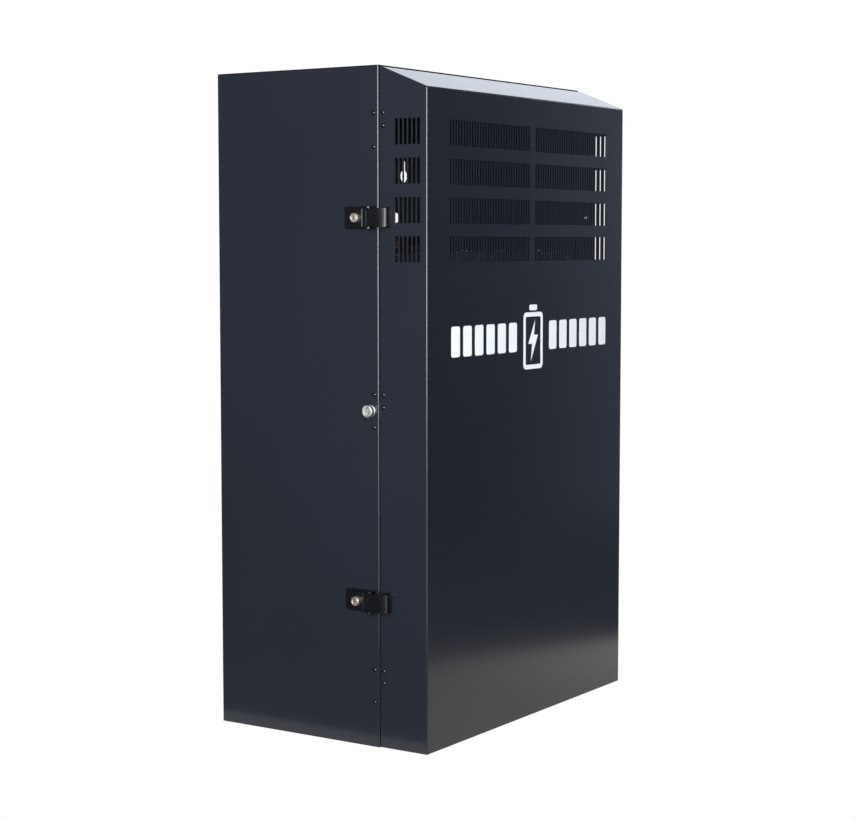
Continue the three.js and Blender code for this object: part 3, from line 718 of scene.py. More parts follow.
def latch_lever(latch, z):
    """Bowed lever with its end rolled in towards the keeper; drawn round its pin."""
    line, turn = [(-LEVER_BARREL, 0), (-LEVER_BARREL, -15.7)], 0.0
    for radius, end in ((57.0, 14.0), (5.0, 90.0)):  # each bend's radius and final lean
        x, y = line[-1]
        start = math.radians(turn)
        for k in range(1, 9):
            a = start + (math.radians(end) - start) * k / 8
            line.append((x + radius * (math.cos(start) - math.cos(a)),
                         y - radius * (math.sin(a) - math.sin(start))))
        turn = end
    section = folded([*line, (5.5, line[-1][1])], 3.0)
    lever = join(prism("z", section, -16, 16), rod("z", (0, 0), LEVER_BARREL, -17, 17, 40))
    plan = rounded([(4, -14), (4, 14), (-33.6, 14, 4.5), (-33.6, -14, 4.5)], 8)
    combine(lever, "INTERSECT", [prism("x", plan, -6, 8)])
    cut(lever, rod("z", (0, 0), PIN_BORE, -20, 20, 32))
    moved(lever, -SIDE + LEVER_PIN[0], LATCH_Y + LEVER_PIN[1], z)
    return stand_in(lever, f"{latch}_latch_lever", edge=0.8, segments=3)


def latch_keeper(latch, z):
    plate = prism("x", rectangle(-21, -6.5, -15, 15, 3), -2.3, -0.3)
    rib = prism("z", rounded([(-2, -19), (-4, -19, 0.8), (-4, -15, 0.8), (-2, -15)]), -12, 12)
    keeper = moved(join(plate, rib), -SIDE, LATCH_Y, z)
    return stand_in(keeper, f"{latch}_latch_keeper", edge=0.4)


def latch_pin(latch):
    low, high = span(f"{latch}_latch_pin")
    centre = (low + high) / 2
    profile = [(0, low.z), (1.2, low.z), (1.5, low.z + 0.3), (1.5, high.z - 0.3),
               (1.2, high.z), (0, high.z)]
    return stand_in(lathe("z", centre.xy, profile, 32), f"{latch}_latch_pin", edge=0)


def lock_cylinder(latch):
    low, high = span(f"{latch}_lock_cylinder")
    centre = (low + high) / 2
    face, base = low.x, high.x
    profile = [(0, face + 0.7), (4.0, face + 0.7), (4.4, face + 1.3), (4.8, face + 0.6),
               (5.3, face), (6.2, face), (7, face + 0.9), (7, base), (0, base)]
    keyway = block((face - 1, face + 6), (centre.y - 0.7, centre.y + 0.7),
                   (centre.z - 3.1, centre.z + 3.1))
    warding = block((face - 1, face + 6), (centre.y - 1.3, centre.y + 0.2),
                    (centre.z - 0.9, centre.z + 0.6))
    cylinder = cut(lathe("x", (centre.y, centre.z), profile, 64), keyway, warding)
    return stand_in(cylinder, f"{latch}_lock_cylinder", edge=0.12, finish=LOCK_METAL)


for latch_name in ("upper", "lower"):
    for make in (latch_base, latch_lever, latch_keeper):
        make(latch_name, middle(f"{latch_name}_latch_base").z)
    latch_pin(latch_name)
    lock_cylinder(latch_name)


# ---- Thumbscrew ----


def thumbscrew():
    y, z = thumbscrew_at.y, thumbscrew_at.z
    wall = -SIDE
    ring = [(3.3, wall - 3), (8.2, wall - 3), (9.3, wall - 2.6), (9.8, wall - 1.8),
            (9.8, wall - 0.3), (3.3, wall - 0.3), (3.3, wall - 3)]
    stand_in(lathe("x", (y, z), ring, 64), "thumbscrew_collar", edge=0.2)
    teeth, crest, root = 28, 9.2, 8.7
    knurl = []
    for i in range(2 * teeth):
        radius = crest if i % 2 else root
        angle = math.pi * i / teeth
        knurl.append((y + radius * math.cos(angle), z + radius * math.sin(angle)))
    grip = prism("x", knurl, wall - 10.2, wall - 6.2)
    core = lathe("x", (y, z), [
        (0, wall - 10.6), (5.2, wall - 10.6), (6.0, wall - 11), (7.9, wall - 11),
        (8.6, wall - 10.4), (8.6, wall - 6), (8.2, wall - 5.5), (6, wall - 5.5),
        (6, wall - 3.3), (3, wall - 3.3), (3, wall + 8.5), (0, wall + 8.5)], 64)
    bar = block((wall + 6.1, wall + 8.1), (y - 1.5, y + 1.5), (z - 7, z + 7))
    stud = join(core, grip, bar)
    slot = block((wall - 12, wall - 9.4), (y - 9, y + 9), (z - 0.9, z + 0.9))
    stand_in(cut(stud, slot), "thumbscrew_stud", edge=0.15, finish=KNOB_METAL)
    refined("cover_lock_tab", edge=0.3)


thumbscrew()


# ---- Screws ----


def button_screw(axis, at, out, radius=3.2, height=1.8):
    """Button-head socket screw standing `out` (-1 or 1) along the axis from its seat."""
    seat, a, b = at
    rim = 0.2 * height
    dome = [(radius * math.cos(t), rim + (height - rim) * math.sin(t))
            for t in (math.radians(9 * k) for k in range(8))]
    levels = [(0, 0.0), (radius, 0.0), *dome, (0, dome[-1][1])]
    head = lathe(axis, (a, b), [(r, seat + out * h) for r, h in levels], 40)
    deep, over = seat + out * height * 0.35, seat + out * (height + 1)
    socket = prism(axis, regular(6, (a, b), radius * 0.4, math.pi / 6), *sorted((deep, over)))
    return cut(head, socket)


SCREW_GROUPS = {"top": 925.3, "middle": 509.3, "bottom": 93.2}
HINGE_FACE = SIDE + GAP + LEAF
ON_BODY, ON_COVER = (-SIDE, cover_low.y + 95), (-SIDE, cover_low.y + 78.3)
ON_BODY_LEAF, ON_COVER_LEAF = (HINGE_FACE, BODY_FRONT + 15), (HINGE_FACE, COVER_REAR - 15)
SCREWS = [  # name, CAD node it is in, its x and y, height from the group's centre
    ("body_screw_1", "body_wrap", ON_BODY, -24.7),
    ("body_screw_2", "body_wrap", ON_BODY, 24.7),
    ("cover_screw_1", "front_cover", ON_COVER, 24.7),
    ("cover_screw_2", "front_cover", ON_COVER, 5.9),
    ("hinge_body_screw_1", "body_wrap", ON_BODY_LEAF, -20),
    ("hinge_cover_screw_1", "front_cover", ON_COVER_LEAF, -20),
    ("hinge_body_screw_2", "body_wrap", ON_BODY_LEAF, 20),
    ("hinge_cover_screw_2", "front_cover", ON_COVER_LEAF, 20),
]
for group, centre_z in SCREW_GROUPS.items():
    for name, holder, (x, y), dz in SCREWS:
        if x < 0:
            shape, slot, finish = (-1, 3.4, 2.4), "latch_black", BLACK_SCREW
        else:
            shape, slot, finish = (1,), "zinc", None
        extra(button_screw("x", (x, y, centre_z + dz), *shape), f"{group}_{name}", slot, holder,
              edge=0.1, finish=finish)


# ---- Printed charge gauge on the cover ----

MARK_Z, MARK_X = 612.0, 3.0
BAR_WIDTH, BAR_STEP, BAR_HEIGHT, BARS = 24.0, 33.0, 46.0, 6


def printed_gauge():
    y0, y1 = cover_low.y, COVER_FRONT
    shapes = []

    def printed(outline):
        return prism("y", [(z, x) for x, z in outline], y0, y1)

    case = rectangle(MARK_X - 30, MARK_X + 30, MARK_Z - 52, MARK_Z + 38, 8)
    window = rectangle(MARK_X - 23, MARK_X + 23, MARK_Z - 45, MARK_Z + 31, 3)
    frame_ring = cut(printed(case), prism("y", [(z, x) for x, z in window], y0 - 1, y1 + 1))
    shapes.append(printed(rectangle(MARK_X - 12, MARK_X + 12, MARK_Z + 41, MARK_Z + 50, 3)))
    bolt = [(6, 26), (-15, -12), (-3, -12), (-7, -40), (15, 2), (3, 2)]
    shapes.append(printed([(MARK_X + x, MARK_Z + z) for x, z in bolt]))
    for side in (-1, 1):
        for k in range(BARS):
            x = MARK_X + side * (50 + BAR_WIDTH / 2 + k * BAR_STEP)
            shapes.append(printed(rectangle(x - BAR_WIDTH / 2, x + BAR_WIDTH / 2,
                                            MARK_Z - BAR_HEIGHT / 2, MARK_Z + BAR_HEIGHT / 2, 4)))
    return extra(join(frame_ring, *shapes), "front_charge_gauge", "pale_plastic", "front_cover",
                 edge=0)


printed_gauge()


# ---- Fastenings inside ----


def nut(axis, centre, radius, low, high):
    """Hexagon nut with its corners chamfered, `radius` across the corners."""
    blank = prism(axis, regular(6, centre, radius), low, high)
    lean = radius * 0.09
    dome = lathe(axis, centre, [
        (0, low), (radius - lean * 1.6, low), (radius + 0.02, low + lean),
        (radius + 0.02, high - lean), (radius - lean * 1.6, high), (0, high)], 48)
    return combine(blank, "INTERSECT", [dome])


def threaded(axis, centre, radius, low, high, pitch=1.25):
    rings = int((high - low - 1) / pitch)
    profile = [(0, low), (radius - 0.5, low)]
    for k in range(rings):
        at = low + 0.5 + k * pitch
        profile += [(radius - 0.5, at), (radius, at + pitch / 2)]
    profile += [(radius - 0.5, high - 0.5), (radius - 1, high), (0, high)]
    return lathe(axis, centre, profile, 32)


def slotted_screw(axis, centre, radius, low, high):
    head = rod(axis, centre, radius, low, high, 32)
    a, b = centre
    across = prism(axis, rectangle(a - 2 * radius, a + 2 * radius, b - 0.45, b + 0.45),
                   high - 0.9, high + 1)
    return cut(head, across)


# ---- Battery modules ----

MODULES = ("front", "rear")
SLEEVES = {"positive": "red_plastic", "negative": "black_plastic"}
PLATE_FOOT, PLATE_TOP = (corner.z for corner in span("front_module_face_plate"))
BREAKER_X, BUTTON_X, BUTTON_Y = -75.0, 60.0, 30.0
EAR_X, EAR_Y = 232.5, 50.3
LAMP_FIRST, LAMP_STEP, LAMP_Y = 92.0, 9.0, 30.0
LAMP_SLOTS = ("green_plastic",) * 4 + ("pale_plastic", "red_plastic")
SOCKETS, SOCKET_Y = (96.0, 120.0, 144.0), -8.0
SWITCH_X = 172.0
VENTS, VENT_FIRST, VENT_STEP = 9, -30.0, 8.0
LID_VENT_ROWS = (-88, -52)  # below the lid's upper edge


def face_plate(module, y):
    node = f"{module}_module_face_plate"
    low, high = span(node)
    below, above = low.z - 1, high.z + 1
    tools = [
        slab(BREAKER_X, y, 18.3, 42.3, (below, above)),
        rod("z", (BUTTON_X, y + BUTTON_Y), 6.3, below, above, 40),
    ]
    for x in (-EAR_X, EAR_X):
        for cy in (y - EAR_Y, y + EAR_Y):
            tools.append(prism("z", rectangle(x - 5, x + 5, cy - 3.4, cy + 3.4, 3.3), below, above))
    for x in SOCKETS:
        tools.append(slab(x, y + SOCKET_Y, 8.2, 7.2, (below, above)))
    for k in range(len(LAMP_SLOTS)):
        tools.append(rod("z", (LAMP_FIRST + k * LAMP_STEP, y + LAMP_Y), 1.9, below, above, 24))
    for k in range(VENTS):
        x = VENT_FIRST + k * VENT_STEP
        tools.append(prism("z", rectangle(x - 1.5, x + 1.5, y - 50, y - 14, 1.49), below, above))
    plate = prism("z", rectangle(low.x, high.x, low.y, high.y, 3), low.z, high.z)
    return stand_in(cut(plate, *tools), node, edge=0.3)


def jack(module, k, x, y):
    """Eight-way socket let into a face plate."""
    top, floor = PLATE_TOP + 1, PLATE_TOP - 9
    shell = slab(x, y, 8, 7, (PLATE_TOP - 12, top))
    mouth = block((x - 5.9, x + 5.9), (y - 3.4, y + 4.4), (floor, top + 1))
    clip = block((x - 3, x + 3), (y - 5.6, y - 3), (floor, top + 1))
    plate = f"{module}_module_face_plate"
    extra(cut(shell, mouth, clip), f"{module}_module_socket_{k}", "black_plastic", plate, edge=0.2)
    wires = [block((x + dx - 0.27, x + dx + 0.27), (y + 2.4, y + 4.2), (floor + 0.2, top - 1.6))
             for dx in (-3.57, -2.55, -1.53, -0.51, 0.51, 1.53, 2.55, 3.57)]
    extra(join(*wires), f"{module}_module_contacts_{k}", "brass", plate, edge=0)


def switch_bank(module, y):
    """Four small setting switches in one red block."""
    top = PLATE_TOP + 1.6
    case = slab(SWITCH_X, y, 7, 5, (PLATE_TOP + 0.02, top))
    steps = [SWITCH_X - 4.8 + 3.2 * k for k in range(4)]
    grooves = [slab(x, y, 1, 3.4, (top - 1, top + 1)) for x in steps]
    plate = f"{module}_module_face_plate"
    extra(cut(case, *grooves), f"{module}_module_switches", "red_plastic", plate, edge=0.12)
    sliders = [slab(x, y + side * 1.6, 0.8, 1.2, (top - 0.98, top + 0.3))
               for x, side in zip(steps, (1, -1, 1, 1))]
    extra(join(*sliders), f"{module}_module_sliders", "pale_plastic", plate, edge=0.1)


def handle(node):
    low, high = span(node)
    x, y, base = (low.x + high.x) / 2, (low.y + high.y) / 2, low.z
    half, reach, corner, radius = 44.0, 40.0, 13.0, 4.5
    line = [Vector((x, y - half, base))]
    for side in (-1, 1):
        for k in range(9):
            turn = math.pi / 2 * (k if side < 0 else 8 - k) / 8
            line.append(Vector((x, y + side * (half - corner + corner * math.cos(turn)),
                                base + reach - corner + corner * math.sin(turn))))
    line.append(Vector((x, y + half, base)))
    feet = [
        lathe("z", (x, y + side * half), [(0, base), (7, base), (7, base + 1.6), (6, base + 2.6),
                                          (4.6, base + 3.4), (0, base + 3.4)], 40)
        for side in (-1, 1)
    ]
    return stand_in(join(tube(line, radius), *feet), node, edge=0.2, finish=BLACK_GRIP)


def terminal_post(node, sleeve):
    low, high = span(node)
    centre = ((low.x + high.x) / 2, (low.y + high.y) / 2)
    seat = low.z + 12
    shank = lathe("z", centre, [(0, low.z), (9.2, low.z), (10, low.z + 0.8), (10, seat - 0.8),
                                (9.2, seat), (3.4, seat), (3.4, seat + 5), (0, seat + 5)], 48)
    post = join(shank, threaded("z", centre, 4, seat + 3, high.z))
    join(post, nut("z", centre, 7.5, seat + 3.6, seat + 10.1))
    stand_in(post, node, edge=0.15)
    ring = lathe("z", centre, [(10.3, low.z - 0.28), (14, low.z - 0.28), (14, low.z + 4),
                               (12.6, low.z + 5.5), (10.3, low.z + 5.5), (10.3, low.z - 0.28)], 48)
    extra(ring, f"{node}_collar", sleeve, node, edge=0.2)


def breaker(module, y):
    node = f"{module}_module_breaker_body"
    low, high = span(node)
    shelf = PLATE_TOP + 3
    profile = rounded([
        (y - 42, low.z), (y - 42, shelf, 1.5), (y - 23.5, shelf, 1), (y - 22, high.z, 1.5),
        (y + 22, high.z, 1.5), (y + 23.5, shelf, 1), (y + 42, shelf, 1.5), (y + 42, low.z),
    ])
    body = prism("x", profile, BREAKER_X - 18, BREAKER_X + 18)
    spots = [(BREAKER_X + dx, y + dy) for dx in (-9, 9) for dy in (-33, 33)]
    cut(body,
        slab(BREAKER_X, y, 9, 13, (high.z - 13, high.z + 1)),
        slab(BREAKER_X, y, 0.35, 43, (shelf - 0.6, shelf + 0.01)),
        slab(BREAKER_X, y, 0.35, 21, (high.z - 0.6, high.z + 1)),
        *[rod("z", spot, 3.4, shelf - 5, shelf + 1, 32) for spot in spots])
    stand_in(body, node, edge=0.25, finish=BREAKER_GREY)
    for k, spot in enumerate(spots):
        extra(slotted_screw("z", spot, 3.2, shelf - 4.9, shelf - 1.8),
              f"{module}_breaker_screw_{k + 1}", "zinc", node, edge=0.12)
    for k, dx in enumerate((-9, 9)):
        flag = block((BREAKER_X + dx - 3, BREAKER_X + dx + 3), (y + 15.5, y + 18.5),
                     (high.z + 0.01, high.z + 0.5))
        extra(flag, f"{module}_breaker_flag_{k + 1}", "green_plastic", node, edge=0.12)


def toggle(module, y):
    node = f"{module}_module_breaker_toggle"
    lever = prism("x", rounded([(-2.5, 0), (2.5, 0), (2.3, 17, 1.6), (-2.3, 17, 1.6)]), -8.5, 8.5)
    obj = join(rod("x", (0, 0), 5, -8.5, 8.5, 40), lever)
    cut(obj, *[block((-9, 9), (side * 2.45 - 0.35, side * 2.45 + 0.35), (h, h + 0.8))
               for side in (-1, 1) for h in (8, 10, 12, 14)])
    obj.data.transform(Matrix.Rotation(math.radians(22.5), 4, "X"))
    moved(obj, BREAKER_X, y, PLATE_FOOT + 8)
    return stand_in(obj, node, edge=0.25)


def power_button(module, y):
    node = f"{module}_module_power_button"
    low, high = span(node)
    centre = (BUTTON_X, y + BUTTON_Y)
    profile = [(0, low.z), (8, low.z), (8, PLATE_FOOT - 2.3), (6, PLATE_FOOT - 2.3),
               (6, high.z - 0.9), (5.7, high.z - 0.3), (5, high.z), (4.4, high.z - 0.2),
               (2.5, high.z - 0.8), (0, high.z - 1)]
    stand_in(lathe("z", centre, profile, 64), node, edge=0)
    bezel = lathe("z", centre, [(6.5, PLATE_TOP + 0.02), (9.5, PLATE_TOP + 0.02),
                                (9, PLATE_TOP + 1.2), (7.2, PLATE_TOP + 1.6),
                                (6.5, PLATE_TOP + 1.2), (6.5, PLATE_TOP + 0.02)], 64)
    extra(bezel, f"{module}_button_bezel", "zinc", f"{module}_module_face_plate", edge=0.15)


def case_lid(module):
    """Lid with two fields of vents and a row of countersunk screws down each edge."""
    node = f"{module}_module_case_lid"
    low, high = span(node)
    face = low.y
    sides = [
        block(sorted((side * (high.x - SHEET - GAP), side * (high.x - 2 * SHEET - GAP))),
              (face + SHEET / 2, high.y), (low.z + 10, high.z - 10))
        for side in (-1, 1)
    ]
    lid = join(block((low.x, high.x), (face, face + SHEET), (low.z, high.z)), *sides)
    vents = [
        prism("y", rectangle(high.z + z - 2, high.z + z + 2, x - 11, x + 11, 1.99),
              face - 1, face + SHEET + 0.5)
        for z in LID_VENT_ROWS for x in range(-150, 151, 30)
    ]
    stand_in(cut(lid, *vents), node, edge=0.3)
    for side in (-1, 1):
        for k in range(5):
            centre = (low.z + 25 + k * (high.z - low.z - 50) / 4, side * (high.x - 10))
            screw = slotted_screw("y", centre, 3.4, face - 1.2, face - 0.02)
            label = "left" if side < 0 else "right"
            extra(screw, f"{module}_lid_screw_{label}_{k + 1}", "zinc", node, edge=0.2)


for module in MODULES:
    plate = f"{module}_module_face_plate"
    plate_y = middle(plate).y
    face_plate(module, plate_y)
    for number, socket_x in enumerate(SOCKETS, 1):
        jack(module, number, socket_x, plate_y + SOCKET_Y)
    switch_bank(module, plate_y + SOCKET_Y)
    for number, lamp_slot in enumerate(LAMP_SLOTS, 1):
        lamp_at = (LAMP_FIRST + (number - 1) * LAMP_STEP, plate_y + LAMP_Y)
        lamp = lathe("z", lamp_at, [
            (0, PLATE_FOOT + 1), (1.75, PLATE_FOOT + 1), (1.75, PLATE_TOP + 0.3),
            (1.5, PLATE_TOP + 0.9), (0.9, PLATE_TOP + 1.3), (0, PLATE_TOP + 1.45)], 32)
        extra(lamp, f"{module}_module_lamp_{number}", lamp_slot, plate, edge=0)
    ear_spots = [(x, plate_y + dy) for x in (-EAR_X, EAR_X) for dy in (-EAR_Y, EAR_Y)]
    for number, (ear_x, ear_y) in enumerate(ear_spots, 1):
        washer = lathe("z", (ear_x, ear_y), [
            (3.1, PLATE_TOP + 0.02), (7.5, PLATE_TOP + 0.02), (7.5, PLATE_TOP + 1.1),
            (3.1, PLATE_TOP + 1.1), (3.1, PLATE_TOP + 0.02)], 40)
        extra(washer, f"{module}_ear_washer_{number}", "black_plastic", plate, edge=0.2)
        screw = button_screw("z", (PLATE_TOP + 1.12, ear_x, ear_y), 1, radius=5.2, height=3)
        extra(screw, f"{module}_ear_screw_{number}", "zinc", plate, edge=0.15)
    for end in ("left", "right"):
        handle(f"{module}_module_handle_{end}")
    for sign, sleeve_slot in SLEEVES.items():
        terminal_post(f"{module}_module_{sign}_post", sleeve_slot)
    breaker(module, plate_y)
    toggle(module, plate_y)
    power_button(module, plate_y)
    case_lid(module)
    refined(f"{module}_module_cell_stack", edge=1.2, segments=3)


# ---- Copper links, cables and isolator ----

ISOLATOR_X, ISOLATOR_Z = -90.0, 900.0
CABLE_SPREAD = 22.0  # each cable's distance from the middle of the isolator
ISOLATOR_FACE = span("isolator_body")[0].y + 4  # front of its box, behind the dial ring
BAR_TOP = span("positive_link_bar")[1].z


def link_sleeve(sign, slot):
    """Insulating sleeve shrunk over the middle of a link bar."""
    node = f"{sign}_link_bar"
    low, high = span(node)
    y0, y1 = low.y + 28, high.y - 52
    sleeve = block((low.x - 1.2, high.x + 1.2), (y0, y1), (low.z - 1.1, high.z + 1.1))
    core = block((low.x - 0.1, high.x + 0.1), (y0 - 1, y1 + 1), (low.z - 0.1, high.z + 0.1))
    extra(cut(sleeve, core), f"{sign}_link_sleeve", slot, node, edge=0.5)


def isolator_cable(sign, to_x, slot):
    node = f"{sign}_cable"
    from_x = middle(f"{sign}_link_bar").x
    start = middle("rear_module_face_plate").y + 18
    centre = BAR_TOP + 5.5
    rise = span(node)[1].z
    route = smooth_path([
        (from_x, start, centre), (from_x, start + 14, centre + 1),
        (from_x + 3, start + 27, centre + 16),
        ((from_x + to_x) / 2, start + 28, (centre + rise) / 2 + 4),
        (to_x, start + 24, rise - 22), (to_x, start + 24, rise)], 12)
    head = next(i for i, p in enumerate(route) if p.y > start + 12)
    stand_in(tube(route[head:], 5.0, 32), node, edge=0.3)
    tongue = prism("z", rectangle(from_x - 6.5, from_x + 6.5, start - 9.5, start + 4, 4),
                   BAR_TOP + 0.02, BAR_TOP + 2.2)
    barrel = tube([Vector((from_x, start + 1, centre)), *route[3:head],
                   route[head] - (route[head] - route[head - 1]) * 0.1], 5.6, 32)
    extra(join(tongue, barrel), f"{sign}_cable_lug", "zinc", node, edge=0.25)
    bolt = nut("z", (from_x, start - 4), 4.8, BAR_TOP + 2.25, BAR_TOP + 5.6)
    extra(bolt, f"{sign}_lug_bolt", "zinc", node, edge=0.1)
    gland = lathe("z", (to_x, start + 24), [
        (5.3, rise - 8), (8.4, rise - 8), (9.2, rise - 7.2), (9.2, rise + 0.25), (5.3, rise + 0.25),
        (5.3, rise - 8)], 12)
    extra(gland, f"{sign}_cable_gland", slot, "isolator_body", edge=0.3)


def isolator_body():
    low, high = span("isolator_body")
    centre = (ISOLATOR_Z, ISOLATOR_X)

    def plan(inset, radius):
        return rectangle(low.z + inset, high.z - inset, low.x + inset, high.x - inset, radius)

    body = join(
        prism("y", plan(0, 8), ISOLATOR_FACE + 26, high.y),
        prism("y", plan(1.2, 7), ISOLATOR_FACE, ISOLATOR_FACE + 25.4),
        prism("y", plan(2.4, 6), ISOLATOR_FACE + 25, ISOLATOR_FACE + 26.5),
        lathe("y", centre, [(0, low.y), (30, low.y), (31, low.y + 1), (31, ISOLATOR_FACE + 1),
                            (0, ISOLATOR_FACE + 1)], 72),
    )
    spots = [(ISOLATOR_Z + dz, ISOLATOR_X + dx) for dz in (-39, 39) for dx in (-39, 39)]
    cut(body,
        lathe("y", centre, [(0, low.y - 1), (25, low.y - 1), (25, ISOLATOR_FACE + 4),
                            (6.3, ISOLATOR_FACE + 4), (6.3, ISOLATOR_FACE + 20),
                            (0, ISOLATOR_FACE + 20)], 72),
        *[rod("y", spot, 4, ISOLATOR_FACE - 1, ISOLATOR_FACE + 4, 32) for spot in spots])
    stand_in(body, "isolator_body", edge=0.5, segments=3, finish=BOX_GREY)
    for k, (z, x) in enumerate(spots):
        head = rod("y", (z, x), 3.7, ISOLATOR_FACE + 0.8, ISOLATOR_FACE + 3.9, 32)
        driver = block((x - 4.5, x + 4.5), (ISOLATOR_FACE, ISOLATOR_FACE + 1.8), (z - 0.5, z + 0.5))
        extra(cut(head, driver), f"isolator_screw_{k + 1}", "zinc", "isolator_body", edge=0.15)
    ticks = []
    for degrees in (0, 30, 60, 90):
        long = degrees in (0, 90)
        mark = block((-0.7, 0.7), (low.y - 0.3, low.y + 0.01), (26.2 if long else 27.6, 29.6))
        mark.data.transform(Matrix.Rotation(math.radians(degrees), 4, "Y"))
        ticks.append(moved(mark, ISOLATOR_X, 0, ISOLATOR_Z))
    extra(join(*ticks), "isolator_dial_marks", "black_plastic", "isolator_body", edge=0)


def isolator_knob():
    low, high = span("isolator_knob")
    centre = (ISOLATOR_Z, ISOLATOR_X)
    disc = ISOLATOR_FACE - 4
    scallops = [
        rod("y", (ISOLATOR_Z + 26.2 * math.cos(a), ISOLATOR_X + 26.2 * math.sin(a)), 3.2,
            disc - 1, ISOLATOR_FACE + 4, 20)
        for a in (2 * math.pi * k / 16 for k in range(16))
    ]
    base = lathe("y", centre, [(0, disc), (22.6, disc), (24, disc + 1.4), (24, ISOLATOR_FACE + 3),
                               (6, ISOLATOR_FACE + 3), (6, high.y), (0, high.y)], 96)
    cut(base, *scallops)
    bar = rectangle(ISOLATOR_Z - 22, ISOLATOR_Z + 22, ISOLATOR_X - 6.5, ISOLATOR_X + 6.5, 5.5)
    grip = prism("y", bar, low.y, disc + 1)
    stand_in(join(base, grip), "isolator_knob", edge=0.6, segments=3)
    pointer = block((ISOLATOR_X - 0.9, ISOLATOR_X + 0.9), (low.y - 0.3, low.y + 0.01),
                    (ISOLATOR_Z + 5, ISOLATOR_Z + 19))
    extra(pointer, "isolator_pointer", "pale_plastic", "isolator_knob", edge=0)


def earth_stud():
    low, high = span("earth_stud")
    centre = ((low.z + high.z) / 2, (low.x + high.x) / 2)
    wall = high.y
    stud = join(
        lathe("y", centre, [(0, wall - 7), (10, wall - 7), (11, wall - 6), (11, wall), (0, wall)],
              48),
        nut("y", centre, 8, wall - 12, wall - 6.9),
    )
    join(stud, threaded("y", centre, 4, low.y, wall - 11))
    return stand_in(stud, "earth_stud", edge=0.15)


for sign, sleeve_slot in SLEEVES.items():
    link_sleeve(sign, sleeve_slot)
isolator_cable("positive", ISOLATOR_X - CABLE_SPREAD, "black_plastic")
isolator_cable("negative", ISOLATOR_X + CABLE_SPREAD, "black_plastic")
isolator_body()
isolator_knob()
earth_stud()

RAIL_WEB = span("rack_rail_right")[1].x - 2  # inner face of the rails' upright webs
RAIL_SCREW_Z = 712.0
for out, rail in ((-1, "rack_rail_left"), (1, "rack_rail_right")):
    for number, rail_y in enumerate((-70.0, 45.0, 160.0), 1):
        seat = (out * (RAIL_WEB - 0.02), rail_y, RAIL_SCREW_Z)
        extra(button_screw("x", seat, -out, 4.5, 2.4), f"{rail}_screw_{number}", "zinc", rail,
              edge=0.12)


# ---- Everything else keeps its CAD shape, softened ----

for node in sorted(nodes):
    if not nodes[node].hide_render:
        refined(node, edge=0.4)


# ---- Camera ----

CAMERA_AT = Vector((-2.6827, -1.7819, 0.7593))
CAMERA_YAW, CAMERA_PITCH = math.radians(33.63), math.radians(-4.88)
LENS, SENSOR = 82.55, 36

camera_data = bpy.data.cameras.new("camera")
camera_data.lens, camera_data.sensor_width = LENS, SENSOR
camera = bpy.data.objects.new("camera", camera_data)
camera.location = CAMERA_AT
looking = Vector((
    math.cos(CAMERA_YAW) * math.cos(CAMERA_PITCH),
    math.sin(CAMERA_YAW) * math.cos(CAMERA_PITCH),
    math.sin(CAMERA_PITCH),
))
camera.rotation_euler = looking.to_track_quat("-Z", "Y").to_euler()
bpy.context.scene.collection.objects.link(camera)
bpy.context.scene.camera = camera


# ---- Studio ----

scene = bpy.context.scene
scene.view_settings.view_transform = "Standard"


def studio_world():
    """White behind everything the camera sees, dim as a source of light."""
    world = bpy.data.worlds.new("studio")
    scene.world = world
    world.use_nodes = True
    tree = world.node_tree
    tree.nodes.clear()
    path = new_node(tree, "LightPath")
    mix = new_node(tree, "MixShader", Fac=path.outputs["Is Camera Ray"])
    dim = new_node(tree, "Background", Color=(0.74, 0.84, 1.06, 1), Strength=0.14)
    white = new_node(tree, "Background", Color=(1, 1, 1, 1))
    for place, glow in enumerate((dim, white), 1):
        tree.links.new(glow.outputs["Background"], mix.inputs[place])
    new_node(tree, "OutputWorld", Surface=mix.outputs["Shader"])


def softbox(name, at, towards, size, radiance, colour):
    """Soft rectangular light of the given brightness, unseen by the camera."""
    light = bpy.data.lights.new(name, "AREA")
    light.shape = "RECTANGLE"
    light.size, light.size_y = size
    light.energy = 4 * radiance * size[0] * size[1]
    light.color = colour
    obj = bpy.data.objects.new(name, light)
    obj.location = at
    obj.rotation_euler = (Vector(towards) - Vector(at)).to_track_quat("-Z", "Y").to_euler()
    obj.visible_camera = False
    scene.collection.objects.link(obj)


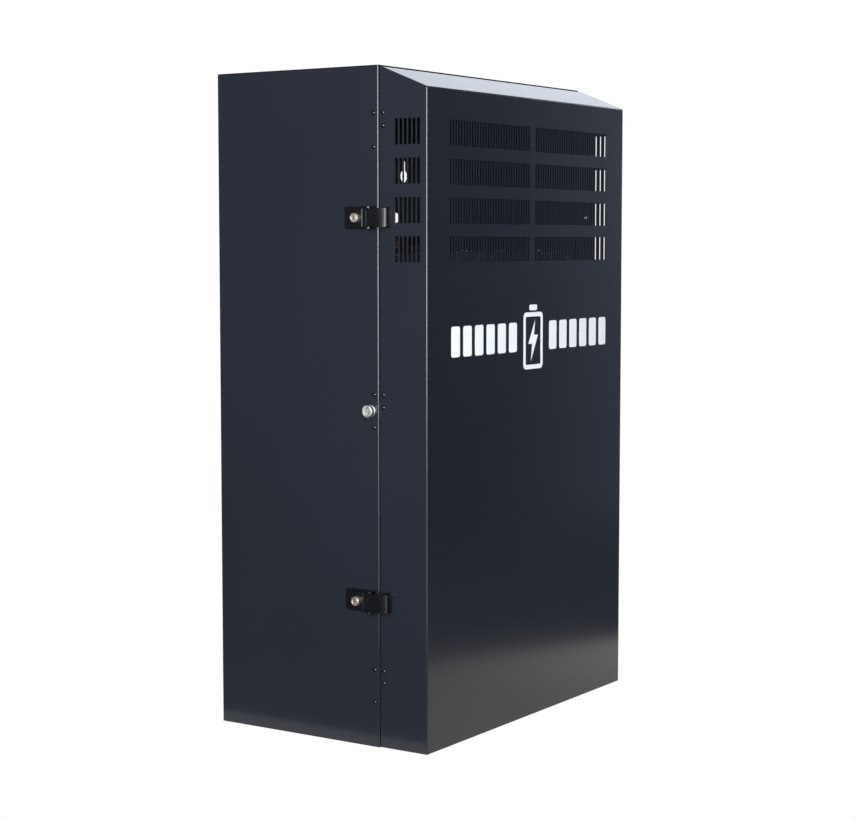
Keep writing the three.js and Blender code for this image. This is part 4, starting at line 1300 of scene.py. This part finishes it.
def glowing(name, points, colour, strength, ramp=None):
    """Self-lit face through the points. `ramp` is the stretch of x over which it comes up and
    the strength that it comes up from."""
    mesh = bpy.data.meshes.new(name)
    mesh.from_pydata(points, [], [list(range(len(points)))])
    obj = bpy.data.objects.new(name, mesh)
    scene.collection.objects.link(obj)
    made = bpy.data.materials.new(name)
    made.use_nodes = True
    tree = made.node_tree
    tree.nodes.clear()
    if ramp:
        start, end, faint = ramp
        coords = new_node(tree, "TexCoord")
        along = new_node(tree, "SeparateXYZ", Vector=coords.outputs["Object"])
        rising = new_node(tree, "MapRange", Value=along.outputs["X"], From_Min=start,
                          From_Max=end, To_Min=faint, To_Max=strength)
        rising.interpolation_type = "SMOOTHSTEP"
        strength = rising.outputs["Result"]
    emission = new_node(tree, "Emission", Color=(*colour, 1), Strength=strength)
    new_node(tree, "OutputMaterial", Surface=emission.outputs["Emission"])
    mesh.materials.append(made)
    return obj


studio_world()
floor = glowing("floor", [(-30, -30, 0), (30, -30, 0), (30, 30, 0), (-30, 30, 0)], (1, 1, 1), 1.0)
floor.location.z = -0.002
floor.visible_glossy = floor.visible_diffuse = False
sweep = glowing("floor_near", [(-0.36, -0.80, 0), (0.30, -0.52, 0), (0.65, -0.37, 0),
                               (1.1, -0.20, 0), (1.1, 0.4, 0), (-0.36, 0.4, 0)],
                (1.0, 0.98, 0.94), 1.15, ramp=(0.0, 0.7, 0.74))
sweep.location.z = -0.001
front_left = glowing("floor_front_left", [(-0.8, -0.95, 0), (-1.3, -0.45, 0), (-5.5, -2.2, 0),
                                          (-3.0, -5.0, 0)], (0.95, 0.98, 1.03), 3.2)
front_left.location.z = -0.0005
card = glowing("right_card", [(0.5, -1.53, 0), (3.0, -0.82, 0), (3.0, -0.82, 2.0),
                              (0.5, -1.53, 2.0)], (0.74, 0.92, 1.25), 0.34, ramp=(1.3, 2.3, 0.05))
for lit in (sweep, front_left, card):
    lit.visible_camera = False

SOFTBOXES = [  # name, place, aimed at, size, radiance, colour
    ("key", (-3.2, -2.3, 1.6), (0, 0, 0.8), (3.2, 3.0), 6.4, (0.95, 0.985, 1.02)),
    ("side", (-3.1, -0.5, 1.05), (0, 0, 0.5), (1.4, 1.5), 12.0, (0.97, 0.99, 1.0)),
    ("overhead", (0.6, 0.2, 3.4), (0, 0, 0), (2.0, 2.0), 1.0, (1, 1, 1)),
    ("rear", (1.6, 3.8, 0.95), (0, 0, 0.5), (2.4, 1.9), 2.5, (0.96, 0.98, 1.0)),
    ("right", (3.3, -0.4, 1.5), (0, 0, 0.5), (1.6, 1.8), 5.0, (0.96, 0.98, 1.0)),
    ("top_card", (3.6, 1.9, 2.4), (0, 0, 1.0), (3.0, 1.6), 1.2, (0.92, 0.97, 1.06)),
]
for settings in SOFTBOXES:
    softbox(*settings)
